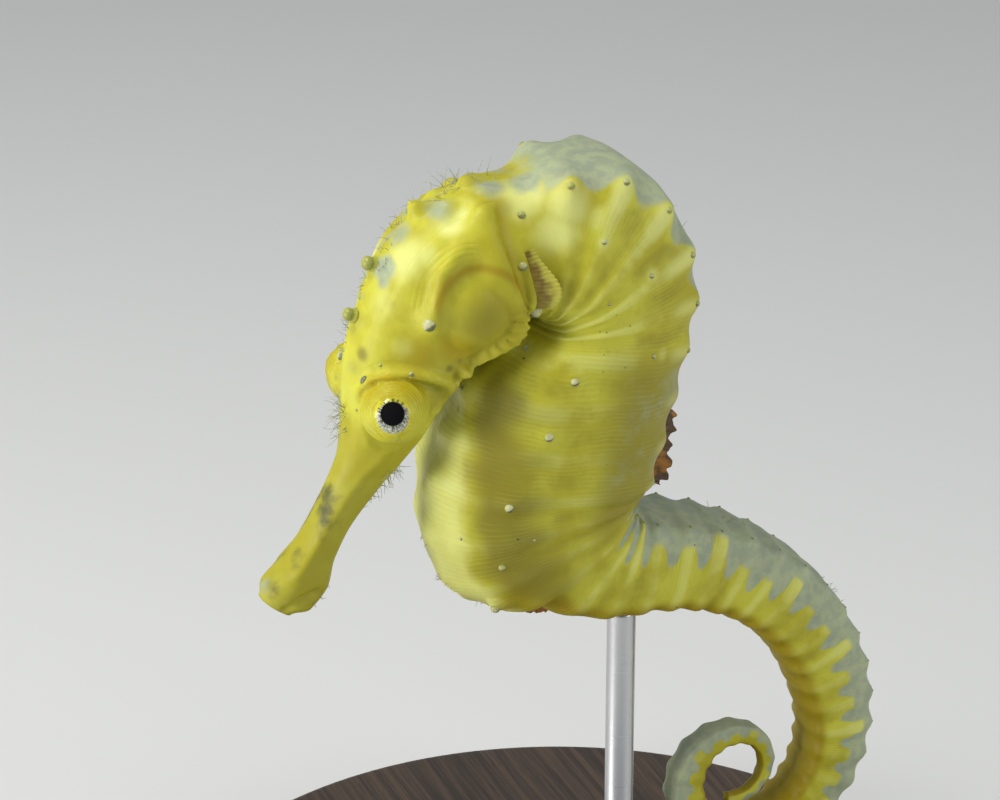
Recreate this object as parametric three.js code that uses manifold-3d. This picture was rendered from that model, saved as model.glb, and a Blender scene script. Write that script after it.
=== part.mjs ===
// Yellow seahorse, life size, held over a plain display stand by two short rods.
// The animal faces -Y, its left side is +X and its middle line lies in the plane x = 0.
// The origin is under the middle of the stand's base. Millimetres and degrees.
import * as THREE from "three";
import { mergeVertices } from "three/addons/utils/BufferGeometryUtils.js";
import Module from "manifold-3d";

const wasm = await Module();
wasm.setup();

// ---------------------------------------------------------------- driving dimensions
const gap = 0.3; // between neighbouring pieces
const snoutTip = { y: -26.0, z: 47.3 }; // where the middle line starts
const snoutPitch = 55; // how far the snout points down

// The middle line, from the snout's tip to the tail's. A minus turn curls towards the belly.
// tighten is how many times sharper a bend is at its end than at its start.
const bends = {
  head: { length: 30.9, turn: 0 },
  neck: { length: 13.5, turn: -153 },
  trunk: { length: 14, turn: 0 },
  loin: { length: 12.1, turn: 89 },
  tailRoot: { length: 5.5, turn: -6 },
  tailBend: { length: 25, turn: -70 },
  coil: { length: 26, turn: -200, tighten: 2.8 },
  curl: { length: 17, turn: -270, tighten: 1.6 },
};
const bendEase = 1.6; // half the length over which one bend passes into the next

// Half sizes of the section at named places: to the back, to the belly and to each side.
// square is the power of the superellipse: 2 is an ellipse, more has corners on the diagonals.
const sections = [
  { at: 0.0, back: 1.5, belly: 1.5, side: 1.6, square: 2.2 }, // lips
  { at: 1.2, back: 2.0, belly: 2.8, side: 2.2, square: 2.2 },
  { at: 3.2, back: 1.6, belly: 3.1, side: 2.2, square: 2.2 }, // jaw
  { at: 6.0, back: 1.3, belly: 2.2, side: 1.8, square: 2.2 },
  { at: 9.1, back: 1.6, belly: 1.8, side: 1.8, square: 2.2 }, // middle of the snout
  { at: 13.0, back: 2.2, belly: 2.1, side: 2.1, square: 2.2 },
  { at: 15.5, back: 3.3, belly: 2.3, side: 2.8, square: 2.3 },
  { at: 18.4, back: 5.0, belly: 2.3, side: 3.7, square: 2.4 }, // eyes
  { at: 21.5, back: 6.8, belly: 2.0, side: 4.3, square: 2.3 }, // forehead
  { at: 26.0, back: 8.0, belly: 2.2, side: 5.0, square: 2.3 },
  { at: 30.7, back: 8.9, belly: 3.4, side: 5.8, square: 2.5 }, // gill covers
  { at: 33.2, back: 8.3, belly: 4.1, side: 5.9, square: 2.5 },
  { at: 35.3, back: 7.4, belly: 4.2, side: 5.8, square: 2.5 }, // nape
  { at: 36.8, back: 9.3, belly: 4.2, side: 6.1, square: 2.6 },
  { at: 38.8, back: 10.9, belly: 4.2, side: 6.7, square: 2.6 },
  { at: 44.5, back: 9.0, belly: 5.4, side: 7.2, square: 2.6 },
  { at: 49.0, back: 8.3, belly: 9.2, side: 7.6, square: 2.7 }, // widest part of the trunk
  { at: 53.5, back: 7.7, belly: 10.2, side: 7.5, square: 2.8 },
  { at: 58.0, back: 7.2, belly: 11.2, side: 7.2, square: 2.8 },
  { at: 61.4, back: 6.2, belly: 11.7, side: 6.6, square: 2.8 }, // loin
  { at: 64.2, back: 5.6, belly: 9.3, side: 6.0, square: 2.7 },
  { at: 66.0, back: 5.2, belly: 6.6, side: 5.5, square: 2.8 },
  { at: 72.5, back: 4.3, belly: 4.6, side: 4.6, square: 3.0 },
  { at: 81.0, back: 3.8, belly: 4.1, side: 4.1, square: 3.0 },
  { at: 95.0, back: 3.3, belly: 3.6, side: 3.5, square: 3.0 },
  { at: 103.0, back: 2.8, belly: 2.8, side: 3.0, square: 3.0 },
  { at: 126.0, back: 1.5, belly: 1.5, side: 1.6, square: 2.8 },
  { at: 144.0, back: 0.55, belly: 0.55, side: 0.55, square: 2.2 }, // tail's tip
];

// Bony rings: how far apart they lie at named places, measured along the outside of a bend,
// which is reach away from the middle line.
const ringSpacing = [
  { at: 30, mm: 4.3, reach: 8 },
  { at: 60, mm: 4.0, reach: 7 },
  { at: 71, mm: 3.2, reach: 4 },
  { at: 98, mm: 3.3, reach: 3.5 },
  { at: 120, mm: 2.9, reach: 2 },
  { at: 144, mm: 2.0, reach: 0.8 },
];
const firstRingAt = 36.6; // middle of the first ring behind the head

// Lengthwise ridges: degrees from the back, height in the trunk and in the tail, and spread.
const ridges = [
  { angle: 45, trunk: 1.1, tail: 0.6, spread: 14 },
  { angle: 90, trunk: 0.35, tail: 0, spread: 14 },
  { angle: 135, trunk: 0.5, tail: 0.35, spread: 14 },
  { angle: 180, trunk: 0.3, tail: 0, spread: 12 }, // keel
];
const ringStep = 0.22; // how far each ring stands proud between the ridges
const ringSharpness = 1.3; // above 1 the rings' tops are narrower than their grooves
const grooveShare = 0.3; // part of a ridge's height that is left in a groove
const fullSide = 3; // where the body is thinner than this to each side, its relief is lower

// Places on the body: at is along the middle line, up towards the back and side to the left.
const turret = { at: 19.5, up: 2.4, side: 4.0, radius: 2.95 }; // the cone that carries the eye
const eye = { radius: 2.3, out: 0.8, forward: 22, upward: 24 }; // out is from the turret's centre
const gill = { at: 30.1, up: 0.7, side: 4.9, along: 3.7, high: 3.5, wide: 1.9 };
const coronet = { at: 33.0, long: 2.0, wide: 1.8, high: 1.4, sunk: 0.5 }; // the mound
const coronetPoints = { count: 5, along: 0.76, side: 1.3, radius: 0.7, height: 0.8, raised: 0.3 };
const dorsalFin = { from: 52.4, to: 61.6, height: 3.8, lean: 25, sunk: 0.8, least: 0.55 };
const analFin = { from: 65.2, to: 66.6, height: 1.4, lean: 20, sunk: 0.8, least: 0.55 };
const pectoralFin = {
  from: 34.9, // upper root, along the body
  to: 35.2, // lower root
  high: 2.8,
  low: -2.2,
  length: 2.2,
  spread: 50, // how far it stands out from the body's side
  fan: 35, // between its first ray and its last
  sunk: 1.0,
  least: 0.7,
};
const finThickness = 0.55;
const finRays = 8;

const base = { radius: 38, height: 8, bevel: 1.2, sides: 48 };
const rod = { radius: 1.25, sides: 16, gap: 0.35 };
const rodAt = { body: 69.6, coil: 112 }; // places on the middle line that the rods stand under

// Blunt spines on the head, in pairs where side is not 0: place, length and radius.
const knobs = [
  { at: 24.4, up: 7.6, side: 0, long: 1.0, radius: 0.55 },
  { at: 28.9, up: 8.5, side: 0, long: 1.0, radius: 0.6 },
  { at: 20.6, up: 5.0, side: 2.2, long: 0.7, radius: 0.5 },
  { at: 22.8, up: 3.3, side: 4.3, long: 0.6, radius: 0.45 },
  { at: 27.5, up: 4.9, side: 4.6, long: 0.8, radius: 0.55 },
];

// ---------------------------------------------------------------- the middle line
const rad = THREE.MathUtils.degToRad;
const smooth = THREE.MathUtils.smoothstep;
const clamp = THREE.MathUtils.clamp;

const bendList = [];
let pathLength = 0;
for (const bend of Object.values(bends)) {
  bendList.push({ from: pathLength, to: pathLength + bend.length, ...bend });
  pathLength += bend.length;
}

// Curvature of the middle line, in radians for each millimetre.
function curvature(at) {
  let sum = 0;
  for (const { from, to, turn, length, tighten = 1 } of bendList) {
    const entered = smooth(at, from - bendEase, from + bendEase);
    const share = entered * (1 - smooth(at, to - bendEase, to + bendEase));
    const start = 2 / (1 + tighten);
    const sharpness = start + start * (tighten - 1) * clamp((at - from) / length, 0, 1);
    sum += share * (rad(turn) / length) * sharpness;
  }
  return sum;
}

// A value between named places, on a smooth curve that never overshoots.
function between(list, at, key) {
  const last = list.length - 1;
  if (at <= list[0].at) return list[0][key];
  if (at >= list[last].at) return list[last][key];
  const i = list.findIndex((place) => place.at > at) - 1;
  const slope = (k) => (list[k + 1][key] - list[k][key]) / (list[k + 1].at - list[k].at);
  const tangent = (k) => {
    if (k === 0 || k === last || slope(k - 1) * slope(k) <= 0) return 0;
    return (2 * slope(k - 1) * slope(k)) / (slope(k - 1) + slope(k));
  };
  const span = list[i + 1].at - list[i].at;
  const t = (at - list[i].at) / span;
  const ends = (2 * t ** 3 - 3 * t ** 2) * (list[i][key] - list[i + 1][key]) + list[i][key];
  return ends + span * ((t ** 3 - 2 * t ** 2 + t) * tangent(i) + (t ** 3 - t ** 2) * tangent(i + 1));
}

const pathStep = 0.1;
const path = [{ y: snoutTip.y, z: snoutTip.z, heading: rad(snoutPitch), ring: 0 }];
for (let at = 0; at < pathLength; at += pathStep) {
  const { y, z, heading, ring } = path[path.length - 1];
  const turn = curvature(at + pathStep / 2) * pathStep;
  const way = heading + turn / 2;
  const ringLength = between(ringSpacing, at, "mm");
  path.push({
    y: y + Math.cos(way) * pathStep,
    z: z + Math.sin(way) * pathStep,
    heading: heading + turn,
    ring: ring + (pathStep + Math.abs(turn) * between(ringSpacing, at, "reach")) / ringLength,
  });
}

// The frame of the section at a place: its middle, the ways along, to the back and to the left.
const left = new THREE.Vector3(1, 0, 0);
function frameAt(at) {
  const place = clamp(at / pathStep, 0, path.length - 1.001);
  const [i, t] = [Math.floor(place), place % 1];
  const mix = (key) => path[i][key] * (1 - t) + path[i + 1][key] * t;
  const heading = mix("heading");
  return {
    middle: new THREE.Vector3(0, mix("y"), mix("z")),
    along: new THREE.Vector3(0, Math.cos(heading), Math.sin(heading)),
    back: new THREE.Vector3(0, -Math.sin(heading), Math.cos(heading)),
    ring: mix("ring"),
  };
}
function onBody({ at, up, side }) {
  const { middle, back } = frameAt(at);
  return middle.addScaledVector(back, up).addScaledVector(left, side);
}

// Ring numbers: whole ones are the middles of the rings, halves the grooves between them.
const ringZero = frameAt(firstRingAt).ring - 1;
const ringAt = (at) => frameAt(at).ring - ringZero;
function placeOfRing(ring) {
  let [low, high] = [0, pathLength];
  while (high - low > 0.001) {
    const middle = (low + high) / 2;
    if (ringAt(middle) < ring) low = middle;
    else high = middle;
  }
  return low;
}

// ---------------------------------------------------------------- the body's surface
const trunkShare = (at) => smooth(at, 34, 38) * (1 - smooth(at, 58, 68));
const tailShare = (at) => smooth(at, 58, 68);

// The point of the surface at a place, some degrees round from the back, moved out by proud.
function skinPoint(at, degrees, proud = 0) {
  const { middle, back } = frameAt(at);
  const [c, s] = [Math.cos(rad(degrees)), Math.sin(rad(degrees))];
  const power = 2 / between(sections, at, "square");
  const side = between(sections, at, "side");
  const up = Math.sign(c) * Math.abs(c) ** power * between(sections, at, c > 0 ? "back" : "belly");
  const out = Math.sign(s) * Math.abs(s) ** power * side;
  const crest = (0.5 + 0.5 * Math.cos(2 * Math.PI * ringAt(at))) ** ringSharpness;
  const thin = Math.min(1, side / fullSide);
  let lift = proud + ringStep * crest * thin * (trunkShare(at) + tailShare(at));
  for (const { angle, trunk, tail, spread } of ridges) {
    const fromBack = Math.abs(THREE.MathUtils.euclideanModulo(degrees + 180, 360) - 180);
    const height = trunk * trunkShare(at) + tail * tailShare(at) * thin;
    const nearness = Math.exp(-(((fromBack - angle) / spread) ** 2));
    lift += height * nearness * (grooveShare + (1 - grooveShare) * crest);
  }
  const grown = 1 + lift / Math.hypot(up, out);
  return middle.addScaledVector(back, up * grown).addScaledVector(left, out * grown);
}

// ---------------------------------------------------------------- solids
// A closed skin over loops of points, with a flat or nearly flat face at each end.
function loft(loops) {
  const around = loops[0].length;
  const points = loops.flat();
  const faces = [];
  for (let i = 0; i < (loops.length - 1) * around; i += around) {
    for (let k = 0; k < around; k++) {
      const [a, b] = [i + k, i + ((k + 1) % around)];
      faces.push(a, a + around, b, b, a + around, b + around);
    }
  }
  const middleOf = (loop) => loop.reduce((sum, p) => sum.add(p), new THREE.Vector3()).divideScalar(around);
  const lastLoop = (loops.length - 1) * around;
  points.push(middleOf(loops[0]), middleOf(loops[loops.length - 1]));
  for (let k = 0; k < around; k++) {
    const next = (k + 1) % around;
    faces.push(points.length - 2, k, next, points.length - 1, lastLoop + next, lastLoop + k);
  }
  const geometry = new THREE.BufferGeometry().setFromPoints(points);
  geometry.setIndex(faces);
  return geometry;
}

// Evenly spaced values, both ends included.
function steps(from, to, count) {
  return Array.from({ length: count + 1 }, (_, i) => from + ((to - from) * i) / count);
}

// Places that fall on the tops and grooves of the rings, parts of them to each ring.
function ringPlaces(from, to, parts) {
  const least = 0.3;
  const places = [from];
  for (let ring = Math.ceil(ringAt(from) * parts) / parts; ring < ringAt(to); ring += 1 / parts) {
    const at = placeOfRing(ring);
    if (at > from + least && at < to - least) places.push(at);
  }
  return [...places, to];
}
function bodyLength(places, around, proud = 0) {
  const degrees = steps(0, 360, around).slice(0, -1);
  return loft(places.map((at) => degrees.map((angle) => skinPoint(at, -angle, proud))));
}

function solidOf(geometry) {
  const bare = geometry.clone();
  bare.deleteAttribute("normal");
  bare.deleteAttribute("uv");
  const merged = mergeVertices(bare, 1e-4); // joins points closer than a tenth of a micron
  return new wasm.Manifold(
    new wasm.Mesh({
      numProp: 3,
      vertProperties: new Float32Array(merged.attributes.position.array),
      triVerts: new Uint32Array(merged.index.array),
    }),
  );
}
function geometryOf(solid) {
  const { vertProperties, triVerts } = solid.getMesh();
  const geometry = new THREE.BufferGeometry();
  geometry.setAttribute("position", new THREE.BufferAttribute(vertProperties, 3));
  geometry.setIndex(new THREE.BufferAttribute(triVerts, 1));
  geometry.computeVertexNormals();
  return geometry;
}

// An ellipsoid on the body, its axes along the body, to its side and to its back.
function blob(place, radii, around = 14) {
  const { along, back } = frameAt(place.at);
  const centre = onBody(place);
  const geometry = new THREE.SphereGeometry(1, around, Math.round(around * 0.7));
  geometry.scale(radii.side, radii.along, radii.up);
  geometry.applyMatrix4(new THREE.Matrix4().makeBasis(left, along, back));
  return geometry.translate(centre.x, centre.y, centre.z);
}

// A blunt cone that stands on the body and points away from the middle of the section.
function knob({ at, up, side, long, radius }, mirror) {
  const place = { at, up, side: side * mirror };
  const rootUp = up * 0.45;
  const way = onBody(place).sub(onBody({ at, up: rootUp, side: 0 })).normalize();
  const sunk = 0.6;
  const [topRadius, footRadius] = [radius * 0.5, radius * 1.3];
  const geometry = new THREE.CylinderGeometry(topRadius, footRadius, long + sunk, 7);
  geometry.translate(0, (long - sunk) / 2, 0);
  geometry.applyQuaternion(new THREE.Quaternion().setFromUnitVectors(new THREE.Vector3(0, 1, 0), way));
  const foot = onBody(place);
  return geometry.translate(foot.x, foot.y, foot.z);
}

const sides = { left: 1, right: -1 };

// ---------------------------------------------------------------- materials
function finish(color, roughness, metalness = 0) {
  return new THREE.MeshStandardMaterial({ color, roughness, metalness });
}
const skin = finish(0xd2cc3c, 0.5);
const finSkin = finish(0xc9a53a, 0.45);
const eyeGloss = finish(0x14120e, 0.15);
const darkWood = finish(0x2a211b, 0.4);
const steel = finish(0xb8b8ba, 0.3, 1);

const seahorse = new THREE.Group();
function add(name, geometry, material) {
  const mesh = new THREE.Mesh(geometry, material);
  mesh.name = name;
  seahorse.add(mesh);
}

// ---------------------------------------------------------------- head
const headEnd = 34.5; // the gill covers' rear edge
const snoutEnd = 14.6;
const headAround = 24;

function eyeSphere(mirror, radius) {
  const [f, u] = [rad(eye.forward), rad(eye.upward)];
  const way = new THREE.Vector3(Math.cos(u) * Math.cos(f) * mirror, -Math.cos(u) * Math.sin(f), Math.sin(u));
  const centre = onBody({ ...turret, side: turret.side * mirror }).addScaledVector(way, eye.out);
  const geometry = new THREE.SphereGeometry(radius, 16, 10);
  return geometry.translate(centre.x, centre.y, centre.z);
}

function addHead() {
  add("snout", bodyLength(steps(0, snoutEnd - gap / 2, 12), headAround), skin);
  let head = solidOf(bodyLength(steps(snoutEnd + gap / 2, headEnd - gap / 2, 14), headAround));
  const around = solidOf(bodyLength(steps(snoutEnd - 4, headEnd + 4, 18), headAround, gap));
  const { radius } = turret;
  for (const place of knobs) head = head.add(solidOf(knob(place, 1)));
  for (const place of knobs.filter(({ side }) => side > 0)) head = head.add(solidOf(knob(place, -1)));
  for (const [side, mirror] of Object.entries(sides)) {
    const turretPlace = { ...turret, side: turret.side * mirror };
    head = head.add(solidOf(blob(turretPlace, { along: radius, up: radius, side: radius }, 12)));
    head = head.subtract(solidOf(eyeSphere(mirror, eye.radius + gap)));
    const gillPlace = { ...gill, side: gill.side * mirror };
    const cover = solidOf(blob(gillPlace, { along: gill.along, up: gill.high, side: gill.wide }));
    add(`gill_cover_${side}`, geometryOf(cover.subtract(around)), skin);
    add(`eye_${side}`, eyeSphere(mirror, eye.radius), eyeGloss);
  }
  add("head", geometryOf(head), skin);
  add("coronet", geometryOf(coronetSolid().subtract(around)), skin);
}

// A low crown on the back of the head: blunt points in a ring on a low mound.
function coronetSolid() {
  const { at, long, wide, high, sunk } = coronet;
  const { count, radius, height, raised } = coronetPoints;
  const top = between(sections, at, "back");
  let solid = solidOf(blob({ at, up: top - sunk, side: 0 }, { along: long, up: high, side: wide }, 10));
  for (const turn of steps(0, 360, count).slice(0, -1)) {
    const point = {
      at: at + coronetPoints.along * Math.cos(rad(turn)),
      up: top + raised,
      side: coronetPoints.side * Math.sin(rad(turn)),
    };
    solid = solid.add(solidOf(blob(point, { along: radius, up: height, side: radius }, 7)));
  }
  return solid;
}

// ---------------------------------------------------------------- neck, trunk and tail
// Lengths of the body, each from one groove between rings to another.
const lengths = [
  { name: "neck", to: 3.5, around: 24, parts: 4 },
  { name: "trunk_upper", to: 7.5, around: 24, parts: 4 },
  { name: "trunk_lower", to: 11.5, around: 24, parts: 4 },
  { name: "tail_root", to: 15.5, around: 16, parts: 2 },
  { name: "tail_upper", to: 20.5, around: 16, parts: 2 },
  { name: "tail_middle", to: 25.5, around: 16, parts: 2 },
  { name: "tail_lower", to: 29.5, around: 12, parts: 2 },
  { name: "tail_coil_1", to: 32.5, around: 12, parts: 2 },
  { name: "tail_coil_2", to: 35.5, around: 12, parts: 2 },
  { name: "tail_coil_3", to: 38.5, around: 10, parts: 2 },
  { name: "tail_coil_4", to: 42.5, around: 10, parts: 2 },
  { name: "tail_tip", to: Infinity, around: 10, parts: 2 },
];
function addBody() {
  let from = headEnd;
  for (const { name, to, around, parts } of lengths) {
    const end = to === Infinity ? pathLength : placeOfRing(to);
    const last = to === Infinity ? end : end - gap / 2;
    add(name, bodyLength(ringPlaces(from + gap / 2, last, parts), around), skin);
    from = end;
  }
}

// ---------------------------------------------------------------- fins
// A plate whose rays grow from the roots along the ways given, cut clear of the body.
function finOf(rays, body) {
  const loops = rays.map(({ root, way, long, flat }) => {
    const half = flat.clone().multiplyScalar(finThickness / 2);
    const tip = root.clone().addScaledVector(way, long);
    return [root.clone().sub(half), root.clone().add(half), tip.clone().add(half), tip.clone().sub(half)];
  });
  const solid = solidOf(loft(loops));
  const outward = solid.volume() < 0 ? solidOf(loft(loops.reverse())) : solid;
  return geometryOf(outward.subtract(body));
}

// The body with the gap round it, from a little before a fin to a little behind it.
function bodyNear({ from, to }, reach) {
  return solidOf(bodyLength(steps(from - reach, to + reach, 24), headAround, gap));
}

// A ray's share of the full length: least at the fin's ends and 1 in its middle.
const rayShare = (t, least) => least + (1 - least) * Math.sin(Math.PI * t) ** 0.6;

// A fin on the middle line, at the back (toBack 1) or the belly (toBack -1).
function middleFin(fin, toBack) {
  const rays = steps(0, 1, finRays).map((t) => {
    const at = fin.from + (fin.to - fin.from) * t;
    const { along, back } = frameAt(at);
    const tilt = rad(fin.lean) * (0.4 + t);
    const way = back.clone().multiplyScalar(toBack * Math.cos(tilt)).addScaledVector(along, Math.sin(tilt));
    const up = toBack * (between(sections, at, toBack > 0 ? "back" : "belly") - fin.sunk);
    const long = fin.height * rayShare(t, fin.least) + fin.sunk;
    return { root: onBody({ at, up, side: 0 }), way, long, flat: left };
  });
  return finOf(rays, bodyNear(fin, 3));
}

// A fin on the body's side, behind the gill cover, its rays fanned from high to low.
function sideFin(fin, mirror) {
  const open = rad(fin.spread);
  const rays = steps(0, 1, finRays).map((t) => {
    const at = fin.from + (fin.to - fin.from) * t;
    const up = fin.high + (fin.low - fin.high) * t;
    const side = mirror * (between(sections, at, "side") - fin.sunk);
    const { along, back } = frameAt(at);
    const fan = rad(fin.fan) * (0.5 - t);
    const flatWay = along.clone().multiplyScalar(Math.cos(fan)).addScaledVector(back, Math.sin(fan));
    const way = flatWay.multiplyScalar(Math.cos(open)).addScaledVector(left, mirror * Math.sin(open));
    const flat = new THREE.Vector3().crossVectors(way, back).normalize();
    const long = fin.length * rayShare(t, fin.least) + fin.sunk;
    return { root: onBody({ at, up, side }), way, long, flat };
  });
  return finOf(rays, bodyNear(fin, 6));
}
function addFins() {
  add("dorsal_fin", middleFin(dorsalFin, 1), finSkin);
  add("anal_fin", middleFin(analFin, -1), finSkin);
  for (const [side, mirror] of Object.entries(sides)) {
    add(`pectoral_fin_${side}`, sideFin(pectoralFin, mirror), finSkin);
  }
}

// ---------------------------------------------------------------- stand
// The lowest point of the body's surface round a place on the middle line.
function lowestOf(at) {
  const reach = rod.radius + rod.gap;
  const around = steps(0, 345, 23);
  const points = steps(at - reach, at + reach, 12).flatMap((near) => around.map((d) => skinPoint(near, d)));
  return points.reduce((low, p) => (p.z < low.z ? p : low));
}
function addStand() {
  const { radius, height, bevel } = base;
  const profile = [
    [0, 0],
    [radius, 0],
    [radius, height - bevel],
    [radius - bevel, height],
    [0, height],
  ].map(([x, y]) => new THREE.Vector2(x, y));
  add("stand_base", new THREE.LatheGeometry(profile, base.sides).rotateX(Math.PI / 2), darkWood);
  for (const [name, at] of Object.entries(rodAt)) {
    const { y, z } = lowestOf(at);
    const [bottom, top] = [height + gap, z - rod.gap];
    const post = new THREE.CylinderGeometry(rod.radius, rod.radius, top - bottom, rod.sides);
    post.rotateX(Math.PI / 2).translate(0, y, (top + bottom) / 2);
    add(`stand_rod_${name}`, post, steel);
  }
}

addHead();
addBody();
addFins();
addStand();

export default seahorse;
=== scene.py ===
import math

import bpy
import numpy as np
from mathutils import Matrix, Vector


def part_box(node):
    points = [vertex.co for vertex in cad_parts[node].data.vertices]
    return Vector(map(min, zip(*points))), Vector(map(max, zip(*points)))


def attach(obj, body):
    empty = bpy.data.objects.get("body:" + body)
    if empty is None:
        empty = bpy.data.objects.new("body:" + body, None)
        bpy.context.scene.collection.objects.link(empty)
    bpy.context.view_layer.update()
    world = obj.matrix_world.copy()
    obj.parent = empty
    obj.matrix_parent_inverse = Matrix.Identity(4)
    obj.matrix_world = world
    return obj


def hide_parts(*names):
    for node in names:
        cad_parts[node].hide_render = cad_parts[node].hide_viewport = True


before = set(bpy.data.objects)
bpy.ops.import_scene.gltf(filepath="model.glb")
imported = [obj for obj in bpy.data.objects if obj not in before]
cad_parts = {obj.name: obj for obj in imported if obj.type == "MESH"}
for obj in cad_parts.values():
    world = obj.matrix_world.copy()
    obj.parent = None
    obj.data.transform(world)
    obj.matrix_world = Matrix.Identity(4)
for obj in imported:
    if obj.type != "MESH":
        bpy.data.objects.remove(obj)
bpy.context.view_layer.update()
mm = 0.001  # lengths in this script are millimetres until they reach a mesh
print("frame loaded:", len(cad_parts), "nodes")


def smoothStep(x, low, high):
    t = np.clip((x - low) / (high - low), 0, 1)
    return t * t * (3 - 2 * t)


def span(x, start, whole, fading, end):  # 1 from whole to fading, easing in before and out after
    return smoothStep(x, start, whole) * (1 - smoothStep(x, fading, end))


def hump(distance, size):
    return np.exp(-((distance / size) ** 2))


def softMax(a, b, blend):
    h = np.clip(0.5 + 0.5 * (a - b) / blend, 0, 1)
    return a * h + b * (1 - h) + blend * h * (1 - h)


def lengthOf(v):
    return np.sqrt((v * v).sum(-1))


def unit(v):
    return v / np.maximum(lengthOf(v), 1e-9)[..., None]


def throughRows(rows, column):  # a smooth curve through a table's rows that never overshoots
    x, y = rows[:, 0], rows[:, column]
    slope = np.diff(y) / np.diff(x)
    tangent = np.zeros(len(x))
    rising = slope[1:] * slope[:-1] > 0
    harmonic = 2 * slope[1:] * slope[:-1] / np.where(rising, slope[1:] + slope[:-1], 1)
    tangent[1:-1] = np.where(rising, harmonic, 0)

    def value(at):
        at = np.clip(at, x[0], x[-1])
        i = np.clip(np.searchsorted(x, at, side="right") - 1, 0, len(x) - 2)
        span = x[i + 1] - x[i]
        t = (at - x[i]) / span
        ends = (2 * t**3 - 3 * t**2) * (y[i] - y[i + 1]) + y[i]
        return ends + span * ((t**3 - 2 * t**2 + t) * tangent[i] + (t**3 - t**2) * tangent[i + 1])

    return value


def linked(name, data):  # a new object in the scene
    made = bpy.data.objects.new(name, data)
    bpy.context.scene.collection.objects.link(made)
    return made


def smoothFaces(mesh):
    mesh.polygons.foreach_set("use_smooth", [True] * len(mesh.polygons))


def meshPiece(name, points, faces):
    mesh = bpy.data.meshes.new(name)
    mesh.from_pydata((np.asarray(points) * mm).tolist(), [], faces)
    smoothFaces(mesh)
    mesh.update()
    return linked(name, mesh)


def paint(piece, name, values, kind="FLOAT"):  # a value for each vertex, for materials and recipes
    layer = piece.data.attributes.new(name, kind, "POINT")
    part = "value" if kind == "FLOAT" else "vector"
    layer.data.foreach_set(part, np.asarray(values, np.float32).ravel())


def loopFaces(a, b, many):  # faces between two loops of as many points, which start at a and b
    return [(a + k, b + k, b + (k + 1) % many, a + (k + 1) % many) for k in range(many)]


def capFaces(middle, a, many):  # faces between a point and a loop
    return [(middle, a + k, a + (k + 1) % many) for k in range(many)]


# the body's middle line runs from the snout's tip to the tail's, in the plane x = 0
bodyLine = {
    "tipY": -26.0,
    "tipZ": 47.3,
    "pitch": 55,  # degrees that the snout rises by
    "ease": 1.6,  # length over which one bend passes into the next
    "step": 0.1,
    "bends": [  # length, turn in degrees, how many times sharper at its end
        (30.9, 0, 1),  # head
        (13.5, -153, 1),  # neck
        (14, 0, 1),  # trunk
        (12.1, 89, 1),  # loin
        (5.5, -6, 1),  # root of the tail
        (25, -70, 1),
        (26, -200, 2.8),  # coil
        (17, -270, 1.6),  # curl at the tip
    ],
}
sections = np.array(  # place, then half sizes to the back, belly and side, and squareness
    [
        (0.0, 1.5, 1.5, 1.6, 2.2), (1.2, 2.0, 2.8, 2.2, 2.2), (3.2, 1.6, 3.1, 2.2, 2.2),
        (6.0, 1.3, 2.2, 1.8, 2.2), (9.1, 1.6, 1.8, 1.8, 2.2), (13.0, 2.2, 2.1, 2.1, 2.2),
        (15.5, 3.3, 2.3, 2.8, 2.3), (18.4, 5.0, 2.3, 3.7, 2.4), (21.5, 6.8, 2.0, 4.3, 2.3),
        (26.0, 8.0, 2.2, 5.0, 2.3), (30.7, 8.9, 3.4, 5.8, 2.5), (33.2, 8.3, 4.1, 5.9, 2.5),
        (35.3, 7.4, 4.2, 5.8, 2.5), (36.8, 9.3, 4.2, 6.1, 2.6), (38.8, 10.9, 4.2, 6.7, 2.6),
        (44.5, 9.0, 5.4, 7.2, 2.6), (49.0, 8.3, 9.2, 7.6, 2.7), (53.5, 7.7, 10.2, 7.5, 2.8),
        (58.0, 7.2, 11.2, 7.2, 2.8), (61.4, 6.2, 11.7, 6.6, 2.8), (64.2, 5.6, 9.3, 6.0, 2.7),
        (66.0, 5.2, 6.6, 5.5, 2.8), (72.5, 4.3, 4.6, 4.6, 3.0), (81.0, 3.8, 4.1, 4.1, 3.0),
        (95.0, 3.3, 3.6, 3.5, 3.0), (103.0, 2.8, 2.8, 3.0, 3.0), (126.0, 1.5, 1.5, 1.6, 2.8),
        (144.0, 0.55, 0.55, 0.55, 2.2),
    ]
)
backOf, bellyOf, sideOf, squareOf = [throughRows(sections, column) for column in (1, 2, 3, 4)]
ringSpacing = np.array(  # place, length of a ring, and how far from the middle line it is measured
    [(30, 4.3, 8), (60, 4.0, 7), (71, 3.2, 4), (98, 3.3, 3.5), (120, 2.9, 2), (144, 2.0, 0.8)]
)
ringLengthOf, ringReachOf = throughRows(ringSpacing, 1), throughRows(ringSpacing, 2)
firstRingAt = 36.6
lineLength = sum(bend[0] for bend in bodyLine["bends"])
left = np.array([1.0, 0.0, 0.0])


def curvature(at):
    total = np.zeros_like(at)
    start, ease = 0.0, bodyLine["ease"]
    for length, turn, tighten in bodyLine["bends"]:
        end = start + length
        share = span(at, start - ease, start + ease, end - ease, end + ease)
        first = 2 / (1 + tighten)
        sharpness = first + first * (tighten - 1) * np.clip((at - start) / length, 0, 1)
        total = total + share * math.radians(turn) / length * sharpness
        start = end
    return total


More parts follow.
